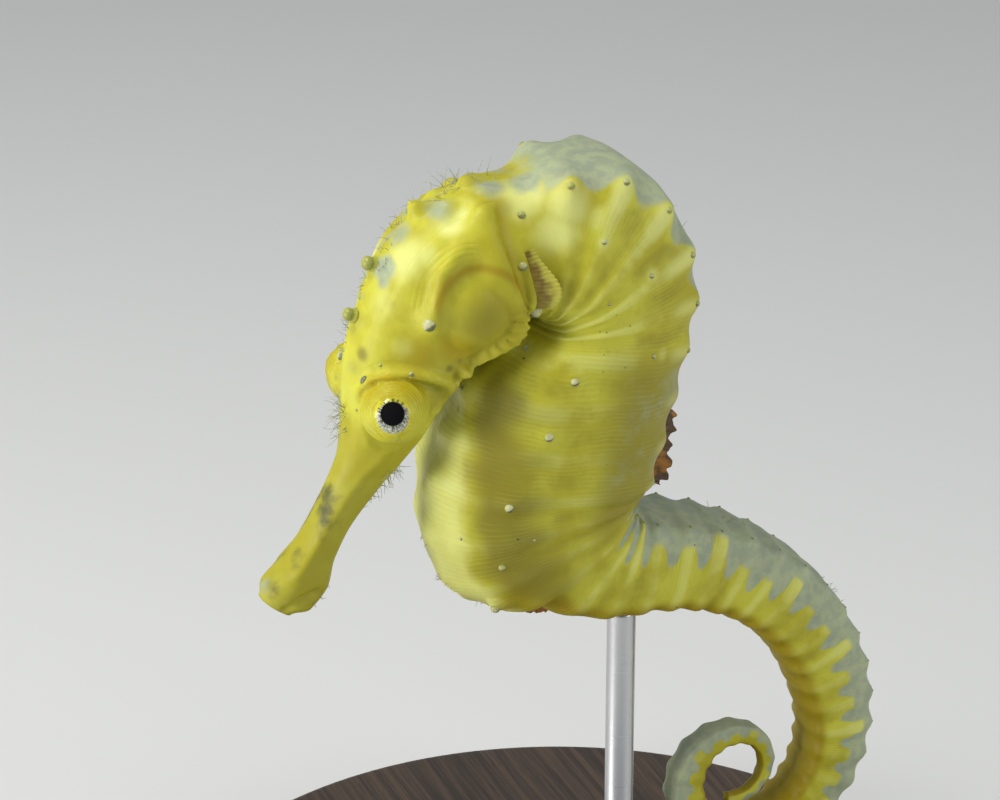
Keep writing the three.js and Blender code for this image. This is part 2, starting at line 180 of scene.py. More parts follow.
def walkLine():
    step = bodyLine["step"]
    at = np.arange(0, lineLength + step / 2, step)
    turn = curvature(at[:-1] + step / 2) * step
    heading = math.radians(bodyLine["pitch"]) + np.append(0, np.cumsum(turn))
    way = heading[:-1] + turn / 2
    y = bodyLine["tipY"] + np.append(0, np.cumsum(np.cos(way) * step))
    z = bodyLine["tipZ"] + np.append(0, np.cumsum(np.sin(way) * step))
    rings = (step + np.abs(turn) * ringReachOf(at[:-1])) / ringLengthOf(at[:-1])
    ring = np.append(0, np.cumsum(rings))
    return at, heading, y, z, ring - np.interp(firstRingAt, at, ring) + 1


lineAt, lineHeading, lineY, lineZ, lineRing = walkLine()


def ringAt(at):  # whole numbers are the middles of the rings, halves the grooves
    return np.interp(at, lineAt, lineRing)


def frameAt(at):
    at = np.asarray(at, float)
    heading = np.interp(at, lineAt, lineHeading)
    zero = np.zeros_like(heading)
    middle = np.stack([zero, np.interp(at, lineAt, lineY), np.interp(at, lineAt, lineZ)], -1)
    along = np.stack([zero, np.cos(heading), np.sin(heading)], -1)
    back = np.stack([zero, -np.sin(heading), np.cos(heading)], -1)
    return middle, along, back


def onBody(at, up, side):
    middle, _, back = frameAt(at)
    return middle + back * up + left * side


def sectionPoint(at, angle):  # how far to the back and to the left; angle runs round from the back
    c, s = np.cos(np.radians(angle)), np.sin(np.radians(angle))
    square = squareOf(at)
    reach = (np.abs(c) ** square + np.abs(s) ** square) ** (-1 / square)
    return reach * c * np.where(c > 0, backOf(at), bellyOf(at)), reach * s * sideOf(at)


def bareSkin(at, angle):
    up, side = sectionPoint(np.asarray(at, float), np.asarray(angle, float))
    middle, _, back = frameAt(at)
    return middle + back * up[..., None] + left * side[..., None]


# the skin is one closed surface swept along the middle line, then modelled feature by feature
skinGrid = {
    "around": 176,  # on the head and trunk; half as many on the snout and tail
    "wideFrom": 12.6,
    "wideTo": 67.6,
    "spacing": [(0, 0.22), (14, 0.22), (20, 0.2), (32, 0.24), (40, 0.33), (100, 0.32), (144, 0.22)],
}


def gridPlaces(start, end):
    spacingOf = throughRows(np.array(skinGrid["spacing"]), 1)
    fine = np.linspace(start, end, 4000)
    stretch = 1 + np.abs(curvature(fine)) * ringReachOf(fine)
    density = stretch / spacingOf(fine)
    count = np.append(0, np.cumsum((density[1:] + density[:-1]) / 2 * np.diff(fine)))
    return np.interp(np.linspace(0, count[-1], int(math.ceil(count[-1]))), count, fine)


relief = {
    "ridges": [  # degrees from the back, heights on the arch, trunk and tail, spread
        (42, 1.0, 0.45, 0.45, 13), (90, 0.3, 0.2, 0.0, 14), (133, 0.2, 0.4, 0.28, 13),
        (180, 0.0, 0.65, 0.0, 9),
    ],
    "ringStep": 0.13,
    "sharpness": 1.3,
    "groove": 0.35,  # share of a ridge's height that is left between two rings
    "fullSide": 3,  # the relief is lower where the body is narrower than this
    "backDip": (0.45, 22),  # the arch is hollow between its two upper ridges
    "twist": 11,  # degrees that the trunk's belly turns to the left
    "twistSpan": (41, 49, 61, 68),
    "edge": [(48, 162), (52, 156), (54.5, 149), (60, 137), (63, 133)],  # of the belly's face
    "edgeHeight": 0.38,
    "edgeWidth": 11,
    "edgeSpan": (47, 51, 62, 66),
}
regions = {"arch": (35, 36.8), "trunk": (41, 46), "tail": (58, 68)}  # where each begins and is complete


def archShare(at):
    return span(at, *regions["arch"], *regions["trunk"])


def trunkShare(at):
    return span(at, *regions["trunk"], *regions["tail"])


def tailShare(at):
    return smoothStep(at, *regions["tail"])


def bellyEdge(at):  # degrees from the back where the flank meets the belly's face
    return np.interp(at, *np.transpose(relief["edge"]))


def fromBack(angle):  # degrees from the back's middle, the same on both sides
    return np.abs((angle + 180) % 360 - 180)


def twistAt(at):
    return relief["twist"] * span(at, *relief["twistSpan"])


def crestAt(at):  # 1 on the middle of a ring, 0 in the groove between two
    return (0.5 + 0.5 * np.cos(2 * np.pi * ringAt(at))) ** relief["sharpness"]


def turnAt(at, angle):  # the same with a sign, following the trunk's twist
    return (angle + twistAt(at) + 180) % 360 - 180


def cornered(at, turn):  # a turn measured evenly along a section with corners
    square = squareOf(at)
    a = np.radians(turn)
    c, s = np.abs(np.cos(a)) ** (square / 2), np.abs(np.sin(a)) ** (square / 2)
    return np.degrees(np.arctan2(s, np.where(np.abs(turn) > 90, -c, c)))


def reliefAt(at, angle):
    turn = cornered(at, turnAt(at, angle))
    crest = crestAt(at)
    thin = np.minimum(1, sideOf(at) / relief["fullSide"])
    lift = relief["ringStep"] * crest * thin * (archShare(at) + trunkShare(at) + tailShare(at))
    for ridge, arch, trunk, tail, spread in relief["ridges"]:
        height = arch * archShare(at) + trunk * trunkShare(at) + tail * tailShare(at) * thin
        shape = relief["groove"] + (1 - relief["groove"]) * crest
        lift = lift + height * hump(turn - ridge, spread) * shape
    fold = relief["edgeHeight"] * hump(fromBack(angle) - bellyEdge(at), relief["edgeWidth"])
    depth, spread = relief["backDip"]
    return lift + fold * span(at, *relief["edgeSpan"]) - depth * archShare(at) * hump(turn, spread)


head = {
    "turret": (19.5, 2.4, 4.0, 2.8),  # place, up, side, radius
    "turretLift": 0.38,  # how far the swelling sits above the eyeball
    "turretRoot": 1.7,  # depth of the point that it swells from
    "rightDip": (33.2, -40, 1.7, -0.9),  # place, degrees, size, height
    "gill": {  # the gill cover's dome
        "at": 30.3,
        "up": 1.5,
        "side": 4.9,
        "long": 3.9,
        "short": 3.4,
        "wide": 1.75,
        "sunk": 0.9,
        "blend": 0.25,
        "tilt": 32,
    },
    "flapFrom": 22,
    "flapTo": 37,
    "flap": [  # edge of the gill cover: place, degrees, how far it stands out
        (34.2, 32, 0.25), (34.0, 39, 0.7), (33.7, 54, 1.1), (33.5, 72, 1.1), (33.2, 88, 0.9),
        (32.9, 104, 0.8), (32.2, 118, 1.1), (31.0, 127, 1.5), (29.6, 131, 1.7), (28.2, 130, 1.4),
        (27.0, 126, 0.9), (25.6, 120, 0.4), (24.2, 112, 0.15),
    ],
    "rearEnd": 5,  # the row of the flap where its rear edge turns into the lower one
    "scallop": (0.22, 8),  # of the lower edge: depth, and waves along it
    "furrow": (0.35, 0.5, 0.4),  # behind the edge: depth, distance and width
}
eye = {
    "radius": 2.3,
    "out": 0.8,
    "forward": 22,  # degrees that it looks by
    "upward": 24,
    "opening": 38,  # degrees from the opening's axis
    "droop": 7,  # how far the opening sits below the pupil
    "lidReach": 3.6,  # from the eye's centre
    "play": 0.03,  # between lid and eyeball
    "socket": 0.3,  # how far the skin lies inside the eyeball under the opening
    "rim": 0.14,
    "ripple": 0.06,
    "rippleEvery": 10,  # degrees from one fold of the lid to the next
    "pupil": 0.95,
    "hollow": 0.1,
    "spinStep": 5,
}


def eyeAxis(lift=0.0):
    f, u = math.radians(eye["forward"]), math.radians(eye["upward"] + lift)
    return np.array([math.cos(u) * math.cos(f), -math.cos(u) * math.sin(f), math.sin(u)])


turretCentre = onBody(head["turret"][0], head["turret"][1], head["turret"][2])
eyeCentre = turretCentre + eyeAxis() * eye["out"]
turretCentre = turretCentre + np.array([0, 0.1, 1.0]) * head["turretLift"]
turretRoot = turretCentre - left * head["turretRoot"]


# bumps and dips on the left side, repeated on the right: place, degrees, size, height
lumps = [
    (24.4, 0, 0.8, 0.45),  # knob on the forehead
    (28.8, 2, 1.0, 0.4),
    (27.0, 18, 1.6, 0.25),
    (27.4, 61, 1.5, 0.55),  # temple
    (32.2, 2, 0.65, 1.05),  # coronet
    (32.9, 16, 0.7, 0.3), (33.0, 0, 0.5, -0.4), (33.9, 0, 0.75, 0.75), (34.2, 15, 0.7, 0.3),
    (33.0, 28, 1.3, -0.4),
    (25.4, 84, 1.6, -0.25),  # cheek behind the eye
    (23.8, 40, 2.0, 0.2),
    (32.2, 60, 1.3, -0.45),  # hollow over the gill cover's dome
    (30.2, 46, 1.4, -0.2),
    (25.4, 106, 0.55, 0.75),  # scallops of the throat
    (23.6, 106, 0.7, 0.45), (21.4, 104, 0.7, 0.35), (26.6, 112, 0.6, -0.4),
    (47.3, 111, 0.8, 0.3),  # mounds under the flank's knobs
    (52.1, 115, 0.8, 0.35), (58.3, 122.5, 0.8, 0.35), (61.4, 125, 0.7, 0.25), (63.4, 176, 1.0, 0.5),
    (63.4, 140, 0.9, 0.8),  # last bump of the trunk's lower ridge
    (58.8, 181, 1.0, 0.35),
    (54.4, 181, 1.0, 0.3),
]
# raised folds (height above 0) and creases (below 0): width, height, then places with degrees
folds = [
    (0.5, 0.75, [(19.3, 34), (20.7, 43), (22.0, 55), (23.1, 67), (23.6, 77), (23.9, 87)]),  # brow
    (0.4, -0.45, [(19.2, 40), (20.6, 49), (21.8, 60), (22.7, 72), (23.1, 84)]),
    (0.35, 0.16, [(17.2, 40), (16.0, 58), (15.9, 76), (17.0, 92)]),  # before the eye
    (0.8, 0.8, [(27.4, 61), (29.1, 59), (31.0, 53), (33.6, 39)]),  # temple to the flap's peak
    (0.7, 0.2, [(15, 0), (20, 0), (24.4, 0), (28.9, 0), (32.3, 0)]),
    (0.35, -0.4, [(0.5, 92), (1.4, 98), (2.4, 112), (2.9, 124)]),  # mouth
    (0.5, 0.18, [(3.5, 62), (7, 66), (12, 72), (16, 84)]),  # line along the snout
    (0.9, -0.9, [(65.0, 128), (65.3, 150), (65.4, 180)]),  # behind the trunk's last ring
    (0.4, -0.2, [(23.6, 92), (26, 100), (28.2, 108), (30.6, 113), (32.0, 104)]),  # under the cheek
]


def distanceToPath(points, path):  # how far, and how far along the path in corners
    nearest = np.full(len(points), 1e9)
    along = np.zeros(len(points))
    for i, (a, b) in enumerate(zip(path[:-1], path[1:])):
        t = np.clip(((points - a) @ (b - a)) / ((b - a) @ (b - a)), 0, 1)
        distance = lengthOf(points - a - t[:, None] * (b - a))
        along = np.where(distance < nearest, i + t, along)
        nearest = np.minimum(nearest, distance)
    return nearest, along


def flapLift(at, around):
    flap = np.array(head["flap"], float)
    arc = 0.1  # millimetres of skin to a degree, near enough for the head
    edge = np.column_stack([flap[:, 0], flap[:, 1] * arc])
    spot = np.column_stack([at, around * arc])
    distance, along = distanceToPath(spot, edge)
    height = np.interp(along, np.arange(len(flap)), flap[:, 2])
    corner = head["rearEnd"]
    rearEdge, lowerEdge = flap[: corner + 1], flap[: corner - 1 : -1]
    onRear = around < flap[corner, 1]
    ahead = np.interp(around, rearEdge[:, 1], rearEdge[:, 0], left=0, right=99) - at
    rear = onRear & (ahead > 0) & (around > flap[0, 1] - 4)
    below = np.interp(at, lowerEdge[:, 0], lowerEdge[:, 1], left=0, right=0) - around
    lower = ~onRear & (below > 0)
    signed = np.where(rear | lower, distance, -distance)  # above 0 on the flap
    deep, waves = head["scallop"]
    signed = signed + deep * np.sin(along * waves) * smoothStep(along, corner - 1, corner + 1)
    lift = height * smoothStep(signed, -0.16, 0.14) * (1 - 0.9 * smoothStep(signed, 0.2, 2.6))
    deep, behind, width = head["furrow"]
    furrow = deep * hump(signed + behind, width) * smoothStep(height, 0.2, 0.8)
    return lift - furrow, signed


def modelSkin(at, angle):  # flat arrays in; out come the points and what the materials read of them
    up, side = sectionPoint(at, angle)
    middle, _, back = frameAt(at)
    outward = unit(back * up[:, None] + left * side[:, None])
    points = middle + back * up[:, None] + left * side[:, None] + outward * reliefAt(at, angle)[:, None]
    near = (at > head["flapFrom"]) & (at < head["flapTo"])
    lift, flapEdge = flapLift(at, fromBack(angle))
    onRight = smoothStep(-points[:, 0], 0, 2.5)
    lift = lift * near * (1 - 0.5 * onRight)
    place, degrees, size, height = head["rightDip"]
    lift = lift + height * onRight * hump(lengthOf(points - bareSkin(place, degrees)), size)
    points = points + outward * lift[:, None]

    # from here on both sides are modelled as the left one
    mirror = np.where(points[:, 0] < 0, -1, 1)[:, None] * [1, 0, 0] + [0, 1, 1]
    points, outward = points * mirror, outward * mirror
    for place, degrees, size, height in lumps:
        blunt = np.exp(-((lengthOf(points - bareSkin(place, degrees)) / size) ** 3))
        points = points + outward * (height * blunt)[:, None]
    points, marks = modelGill(points)
    marks["flapEdge"] = np.where(near, flapEdge, 9)

    # the eye's turret, swollen from a point inside the head
    reach = lengthOf(points - turretRoot)
    way = unit(points - turretRoot)
    swollen = softMax(reach, turretReach(way), 0.5)
    points = np.where((reach < 8)[:, None], turretRoot + way * swollen[:, None], points)
    for width, height, path in folds:
        line = np.array([onTurret(bareSkin(place, degrees)) for place, degrees in path])
        distance, _ = distanceToPath(points, line)
        points = points + outward * (height * hump(distance, width))[:, None]
    points, eyeMarks = modelLids(points)
    marks.update(eyeMarks)
    return points * mirror, marks


def modelGill(points):  # the gill cover's dome, which faces sideways
    gill = head["gill"]
    _, gillAlong, gillBack = frameAt(gill["at"])
    tilt = math.radians(gill["tilt"])
    longWay = gillAlong * math.cos(tilt) + gillBack * math.sin(tilt)
    shortWay = gillBack * math.cos(tilt) - gillAlong * math.sin(tilt)
    offset = points - onBody(gill["at"], gill["up"], gill["side"])
    reach = np.hypot(offset @ longWay / gill["long"], offset @ shortWay / gill["short"])
    dome = gill["side"] - gill["sunk"]
    dome = dome + (gill["wide"] + gill["sunk"]) * np.sqrt(np.maximum(1 - reach**2, 0))
    raised = softMax(points[:, 0], np.where(reach < 1, dome, -9), gill["blend"])
    points[:, 0] = np.where(reach < 1.1, raised, points[:, 0])
    above = smoothStep(0.45 * (offset @ shortWay) + 1.3 * (offset @ longWay), 0.6, 3.2)
    return points, {"gillRing": (reach - 1) * gill["short"], "overGill": above}


def modelLids(points):  # an opening for the eyeball, with a rim and rings of fine folds
    fromEye = points - eyeCentre
    distance = lengthOf(fromEye)
    cosine = (fromEye @ eyeAxis(-eye["droop"])) / distance
    spread = np.degrees(np.arccos(np.clip(cosine, -1, 1)))
    close = smoothStep(eye["lidReach"] - distance, 0, 0.4)
    inside = 1 - smoothStep(spread, eye["opening"] - 2.5, eye["opening"] + 1.5)
    rim = eye["rim"] * hump(spread - eye["opening"] - 6, 5)
    folded = span(spread, 46, 54, 80, 100)
    ripple = eye["ripple"] * np.sin((spread - 40) / eye["rippleEvery"] * 2 * np.pi) * folded
    target = softMax(distance, eye["radius"] + eye["play"], 0.1) + rim + ripple
    target = target * (1 - inside) + (eye["radius"] - eye["socket"]) * inside
    target = distance + (target - distance) * close
    points = eyeCentre + unit(fromEye) * target[:, None]
    # painted shade under the brow's shelf, over the top of the eye
    over = ((points - eyeCentre) @ np.array([-0.25, 0.1, 0.96])) / np.maximum(distance, 1e-6)
    brow = smoothStep(over, 0.25, 0.7) * smoothStep(3.9 - distance, 0, 0.9) * (spread > 36)
    return points, {"eyeSpread": np.where(distance < 4.5, spread, 180), "brow": brow}


def turretReach(way):  # how far the turret's ball reaches from its root in a direction
    nearer = way @ (turretCentre - turretRoot)
    square = head["turret"][3] ** 2 - head["turretRoot"] ** 2 + nearer**2
    return nearer + np.sqrt(np.maximum(square, 0))


def onTurret(point):  # a point of the bare head, moved out to the turret where that is further
    way = unit(point - turretRoot)
    return turretRoot + way * softMax(lengthOf(point - turretRoot), turretReach(way), 0.5)


def makeSkin():
    blocks = [
        (gridPlaces(0.02, skinGrid["wideFrom"]), skinGrid["around"] // 2),
        (gridPlaces(skinGrid["wideFrom"], skinGrid["wideTo"])[1:-1], skinGrid["around"]),
        (gridPlaces(skinGrid["wideTo"], lineLength - 0.05), skinGrid["around"] // 2),
    ]
    at, angle, loops, faces = [], [], [], []
    total = 0
    for places, around in blocks:
        for place in places:
            loops.append((total, around))
            at.append(np.full(around, place))
            angle.append(np.arange(around) * 360 / around)
            total += around
    for (a, many), (b, later) in zip(loops[:-1], loops[1:]):
        if many == later:
            faces += loopFaces(a, b, many)
        elif later == 2 * many:  # from the snout's ring to twice as many points
            for k in range(many):
                following = (k + 1) % many
                faces.append((a + k, b + 2 * k, b + 2 * k + 1))
                faces.append((a + k, b + 2 * k + 1, b + (2 * k + 2) % later, a + following))
        else:  # and back to half as many on the tail
            for k in range(later):
                following = (k + 1) % later
                faces.append((a + 2 * k, b + k, a + 2 * k + 1))
                faces.append((a + 2 * k + 1, b + k, b + following, a + (2 * k + 2) % many))
    at, angle = np.concatenate(at), np.concatenate(angle)
    points, marks = modelSkin(at, angle)
    ends = [points[: loops[0][1]].mean(0), points[loops[-1][0] :].mean(0)]
    points = np.vstack([points, ends])
    (first, many), (last, few) = loops[0], loops[-1]
    faces += capFaces(total, first, many)
    faces += [(total + 1, last + (k + 1) % few, last + k) for k in range(few)]
    at, angle = np.append(at, [0, lineLength]), np.append(angle, [90, 90])
    piece = meshPiece("skin", points, [face[::-1] for face in faces])
    paint(piece, "ring", ringAt(at))
    paint(piece, "turn", np.abs(turnAt(at, angle)))
    marks = {name: np.append(values, [180, 180]) for name, values in marks.items()}
    marks.update(markingsOn(at, angle, points))
    for name, values in marks.items():
        paint(piece, name, values)
    return piece


# patches of colour on the left side, repeated on the right, some of them painted light and shade:
# place, degrees, size, strength
patches = {
    "grey": [
        (29.2, 14, 1.25, 0.95), (28.3, 18, 0.8, 0.8), (31.2, 6, 1.5, 0.7), (32.6, 14, 1.6, 0.65),
        (34.4, 14, 1.8, 0.8), (35.6, 18, 2.0, 0.8), (36.6, 40, 1.6, 0.4), (26.3, 0, 0.6, 0.6),
        (1.2, 12, 1.1, 0.6), (20.8, 14, 0.9, 0.35),
    ],
    "dark": [
        (10.4, 22, 1.1, 0.7), (9.3, 34, 1.1, 0.7), (8.4, 52, 1.0, 0.7), (7.4, 66, 0.8, 0.45),
        (4.9, 30, 0.9, 0.55), (4.0, 46, 0.6, 0.45), (1.5, 30, 1.1, 0.55), (20.1, 40.5, 0.42, 1.0),
        (23.1, 81, 0.33, 0.9), (25.0, 86, 0.45, 0.8), (25.8, 88, 0.4, 0.6), (52.0, 181, 0.4, 1.0),
        (57.7, 180, 0.42, 1.0), (60.2, 180, 0.38, 1.0), (63.6, 172, 0.6, 0.6),
    ],
    # olive patches, partly the skin's own tone and partly painted shade over the gill cover's dome and
    # the cheek
    "olive": [
        (22.3, 25, 0.7, 0.9), (29.9, 82, 3.0, 0.75), (27.0, 84, 2.6, 0.7), (24.8, 66, 1.9, 0.55),
        (28.6, 60, 1.6, 0.5), (33.3, 66, 1.3, 0.6), (32.4, 100, 1.6, 0.6), (22.6, 96, 1.6, 0.5),
        (36.6, 96, 1.6, 0.6), (24.6, 14, 1.2, 0.3), (21.0, 20, 1.0, 0.4),
    ],
    # pale patches, partly the skin's own paler tone and partly painted light on the head's lit upper
    # planes
    "bright": [
        (30.6, 26, 2.4, 0.8), (33.0, 30, 1.2, 0.8), (26.8, 26, 2.4, 0.45), (24.6, 52, 1.4, 0.5),
        (18.6, 14, 2.0, 0.3), (36.2, 62, 2.2, 0.85), (35.2, 32, 2.5, 0.9), (36.6, 50, 2.2, 0.95),
        (37.8, 58, 1.5, 0.6), (38.3, 68, 0.9, 0.6), (39.9, 64, 0.8, 0.6), (41.2, 63, 0.9, 0.6),
        (45.4, 66, 0.9, 0.6), (36.5, 38, 1.0, 0.7), (38.3, 36, 0.9, 0.9), (30.6, 128, 0.8, 0.8),
        (32.6, 33, 1.4, 0.9), (31.2, 36, 1.4, 0.7),
    ],
    # painted shade: deeper amber where the head lies in shade, on the cheek and beside the gill cover's
    # dome
    "warm": [
        (24.8, 64, 2.2, 0.75), (26.8, 80, 2.2, 0.8), (23.6, 50, 1.4, 0.5), (33.0, 60, 0.9, 0.8),
        (32.7, 78, 0.9, 0.8), (32.2, 96, 1.0, 0.75), (31.4, 112, 1.0, 0.7), (29.6, 122, 1.0, 0.6),
        (29.8, 84, 1.6, 0.4),
    ],
}


greyBand = {  # over the back: degrees to each side of it
    "half": 40,
    "archGroove": 9,  # wider in the grooves of the arch
    "archCrest": 7,
    "tailGroove": 42,  # and between the lobes of the tail, where every third ring has a longer lobe
    "shortLobe": 0.55,
    "tail": (18, 74, 82),  # wider again down the tail, from where to where
}
dullBack = {"turn": (78, 124), "span": (43, 48, 60, 66), "grey": 0.3, "olive": 0.75}  # of the trunk


def markingsOn(at, angle, points):
    turn, around = np.abs(turnAt(at, angle)), fromBack(angle)
    onLeft = np.column_stack([np.abs(points[:, 0]), points[:, 1:]])
    onLeft[:, 1:] += 1.1 * smoothStep(-points[:, :1], 0.0, 1.2)  # the right side's differ a little
    crest = crestAt(at)
    arch, trunk, tail = archShare(at), trunkShare(at), tailShare(at)
    marks = {}
    for name, spots in patches.items():
        total = np.zeros(len(at))
        for place, degrees, size, strength in spots:
            centre = bareSkin(place, degrees - twistAt(place))
            centre[0] = abs(centre[0])
            total = np.maximum(total, strength * hump(lengthOf(onLeft - centre), size))
        marks[name] = total

    # the grey over the back
    third = (np.round(ringAt(at)) % 3 == 2) * tail
    short = greyBand["shortLobe"]
    lobe = smoothStep(crest, 0, 0.6) * (short + (1 - short) * third)
    band = greyBand["half"] + (greyBand["archGroove"] - greyBand["archCrest"] * crest) * arch
    band = band + greyBand["tailGroove"] * (1 - lobe) * tail
    wider, start, whole = greyBand["tail"]
    band = band + wider * smoothStep(at, start, whole)
    grey = 1 - smoothStep(turn, band - 10 - 4 * tail, band + 5 + 5 * tail)
    grey = grey * smoothStep(at, 34.5, 36.5) * (0.55 + 0.45 * smoothStep(at, 35.8, 37.4))
    grey = grey * (1 - 0.4 * trunk)
    dull = (1 - smoothStep(turn, *dullBack["turn"])) * span(at, *dullBack["span"])
    marks["grey"] = np.maximum.reduce([marks["grey"], grey, dullBack["grey"] * dull])
    snout = 0.5 * (1 - smoothStep(at, 12, 19))
    marks["olive"] = np.maximum.reduce([marks["olive"], snout, dullBack["olive"] * dull])

    # bright lobes and ridges, the belly's face painted paler as if lit, and painted shade on the flank
    # before it
    lobes = lobe * span(turn, 22, 42, 80, 104) * tail
    ridgeGlow = 0.8 * hump(turn - 50, 14) * crest * (arch + 0.6 * trunk)
    onTrunk = span(at, 44, 50, 63, 67)
    past = around - bellyEdge(at) + 2 * np.cos(2 * np.pi * ringAt(at))
    # painted light: the belly's face is made paler, as if the lamps lit it
    face = 0.66 * smoothStep(past, -9, 9) * onTrunk
    marks["bright"] = np.maximum.reduce([marks["bright"], 0.45 * lobes, ridgeGlow, face])
    marks["amber"] = smoothStep(turn, 112, 140) * tail
    # painted shade on the flank just before the belly's face, laid into the olive marks
    shade = (1 - smoothStep(past, -14, 6)) * (0.25 + 0.75 * smoothStep(past, -42, -8)) * onTrunk
    marks["olive"] = np.maximum(marks["olive"], shade * smoothStep(around, 60, 95))
    return marks


skin = makeSkin()
print("skin:", len(skin.data.polygons), "faces")
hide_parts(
    "snout", "head", "gill_cover_left", "gill_cover_right", "coronet", "neck", "trunk_upper",
    "trunk_lower", "tail_root", "tail_upper", "tail_middle", "tail_lower", "tail_coil_1", "tail_coil_2",
    "tail_coil_3", "tail_coil_4", "tail_tip",
)
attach(skin, "root")


class Field:  # a socket that takes part in arithmetic
    def __init__(self, maker, socket):
        self.maker, self.socket = maker, socket

    def __add__(self, other):
        return self.maker.maths("ADD", self, other)

    def __radd__(self, other):
        return self.maker.maths("ADD", other, self)

    def __sub__(self, other):
        return self.maker.maths("SUBTRACT", self, other)

    def __rsub__(self, other):
        return self.maker.maths("SUBTRACT", other, self)

    def __mul__(self, other):
        return self.maker.maths("MULTIPLY", self, other)

    def __rmul__(self, other):
        return self.maker.maths("MULTIPLY", other, self)

    def beside(self, name):  # another output of the same node
        return Field(self.maker, self.socket.node.outputs[name])


class Graph:  # a node tree, filled in one call for each node
    def node(self, kind, settings=None, inputs=None, output=0):
        made = self.tree.nodes.new(kind)
        for key, value in (settings or {}).items():
            setattr(made, key, value)
        for key, value in (inputs or {}).items():
            self.feed(self.pick(made.inputs, key), value)
        return Field(self, self.pick(made.outputs, output))

    def pick(self, sockets, key):  # by number, or by name from those in use
        if isinstance(key, int):
            return sockets[key]
        return next(socket for socket in sockets if socket.name == key and socket.enabled)

    def feed(self, socket, value):
        if isinstance(value, Field):
            self.tree.links.new(value.socket, socket)
        else:
            socket.default_value = (*value, 1) if socket.type == "RGBA" and len(value) == 3 else value

    def maths(self, operation, *values):
        return self.node("ShaderNodeMath", {"operation": operation}, dict(enumerate(values)))

    def vector(self, operation, *values, output="Vector"):
        inputs = dict(enumerate(values))
        return self.node("ShaderNodeVectorMath", {"operation": operation}, inputs, output)


class Recipe(Graph):  # a geometry node tree with named inputs
    def __init__(self, name, **inputs):
        self.tree = bpy.data.node_groups.new(name, "GeometryNodeTree")
        self.name, self.values = name, {}
        self.socket("Geometry", "INPUT", "Geometry")
        self.socket("Geometry", "OUTPUT", "Geometry")
        for label, (kind, value) in inputs.items():
            self.values[self.socket(label, "INPUT", kind)] = value
        self.entry = self.tree.nodes.new("NodeGroupInput")

    def socket(self, label, side, kind):
        made = self.tree.interface.new_socket(name=label, in_out=side, socket_type="NodeSocket" + kind)
        return made.identifier

    def given(self, label):
        return Field(self, self.entry.outputs[label])

    def read(self, name, kind="FLOAT"):
        kinds, inputs = {"data_type": kind}, {"Name": name}
        return self.node("GeometryNodeInputNamedAttribute", kinds, inputs, output="Attribute")

    def upright(self):  # the turn that stands something up on the skin
        way = {"Vector": self.read("way", "FLOAT_VECTOR")}
        return self.node("FunctionNodeAlignRotationToVector", {"axis": "Z"}, way)

    def onPoints(self, shape, turn):  # one on each of the piece's points, as large as its size says
        inputs = {"Points": self.given("Geometry"), "Instance": shape, "Rotation": turn}
        return self.node("GeometryNodeInstanceOnPoints", {}, inputs | {"Scale": self.read("size")})

    def join(self, *parts):
        joined = self.node("GeometryNodeJoinGeometry")
        for part in parts:
            self.tree.links.new(part.socket, joined.socket.node.inputs[0])
        return joined

    def store(self, geometry, name, value, kind="FLOAT"):
        inputs = {"Geometry": geometry, "Name": name, "Value": value}
        return self.node("GeometryNodeStoreNamedAttribute", {"data_type": kind}, inputs)

    def finish(self, geometry):
        real = self.node("GeometryNodeRealizeInstances", {}, {"Geometry": geometry})
        inputs = {"Geometry": real, "Material": self.given("Material")}
        covered = self.node("GeometryNodeSetMaterial", {}, inputs)
        self.tree.links.new(covered.socket, self.tree.nodes.new("NodeGroupOutput").inputs[0])

    def grow(self, piece):  # turns the piece into the plain mesh that the tree makes of it
        modifier = piece.modifiers.new(self.name, "NODES")
        modifier.node_group = self.tree
        for identifier, value in self.values.items():
            modifier[identifier] = value
        evaluated = piece.evaluated_get(bpy.context.evaluated_depsgraph_get())
        mesh = bpy.data.meshes.new_from_object(evaluated)
        piece.modifiers.remove(modifier)
        piece.data = mesh


class Finish(Graph):  # a material and the nodes behind its shader
    def __init__(self, name, **constants):
        self.material = bpy.data.materials.new(name)
        self.material.use_nodes = True
        self.tree = self.material.node_tree
        self.shader = self.tree.nodes["Principled BSDF"]
        for socket, value in constants.items():
            self.shader.inputs[socket].default_value = value

    def attribute(self, name, output="Fac"):
        return self.node("ShaderNodeAttribute", {"attribute_name": name}, output=output)

    def place(self):
        return self.node("ShaderNodeTexCoord", output="Object")

    def noise(self, scale, vector, detail, roughness=0.5):
        inputs = {"Vector": vector, "Scale": scale, "Detail": detail, "Roughness": roughness}
        return self.node("ShaderNodeTexNoise", {}, inputs)

    def smooth(self, value, low, high):
        inputs = {"Value": value, "From Min": low, "From Max": high}
        return self.node("ShaderNodeMapRange", {"interpolation_type": "SMOOTHSTEP"}, inputs)

    def mix(self, factor, a, b):
        return self.node("ShaderNodeMix", {"data_type": "RGBA"}, {0: factor, 6: a, 7: b}, output=2)

    def span(self, value, start, whole, fading, end):
        return self.smooth(value, start, whole) * (1 - self.smooth(value, fading, end))

    def bump(self, height, distance, strength):
        inputs = {"Height": height, "Distance": distance, "Strength": strength}
        return self.node("ShaderNodeBump", {}, inputs)

    def set(self, **links):
        for socket, value in links.items():
            self.feed(self.shader.inputs[socket.replace("_", " ")], value)
        return self.material


def cover(piece, material):
    piece.data.materials.clear()
    piece.data.materials.append(material)


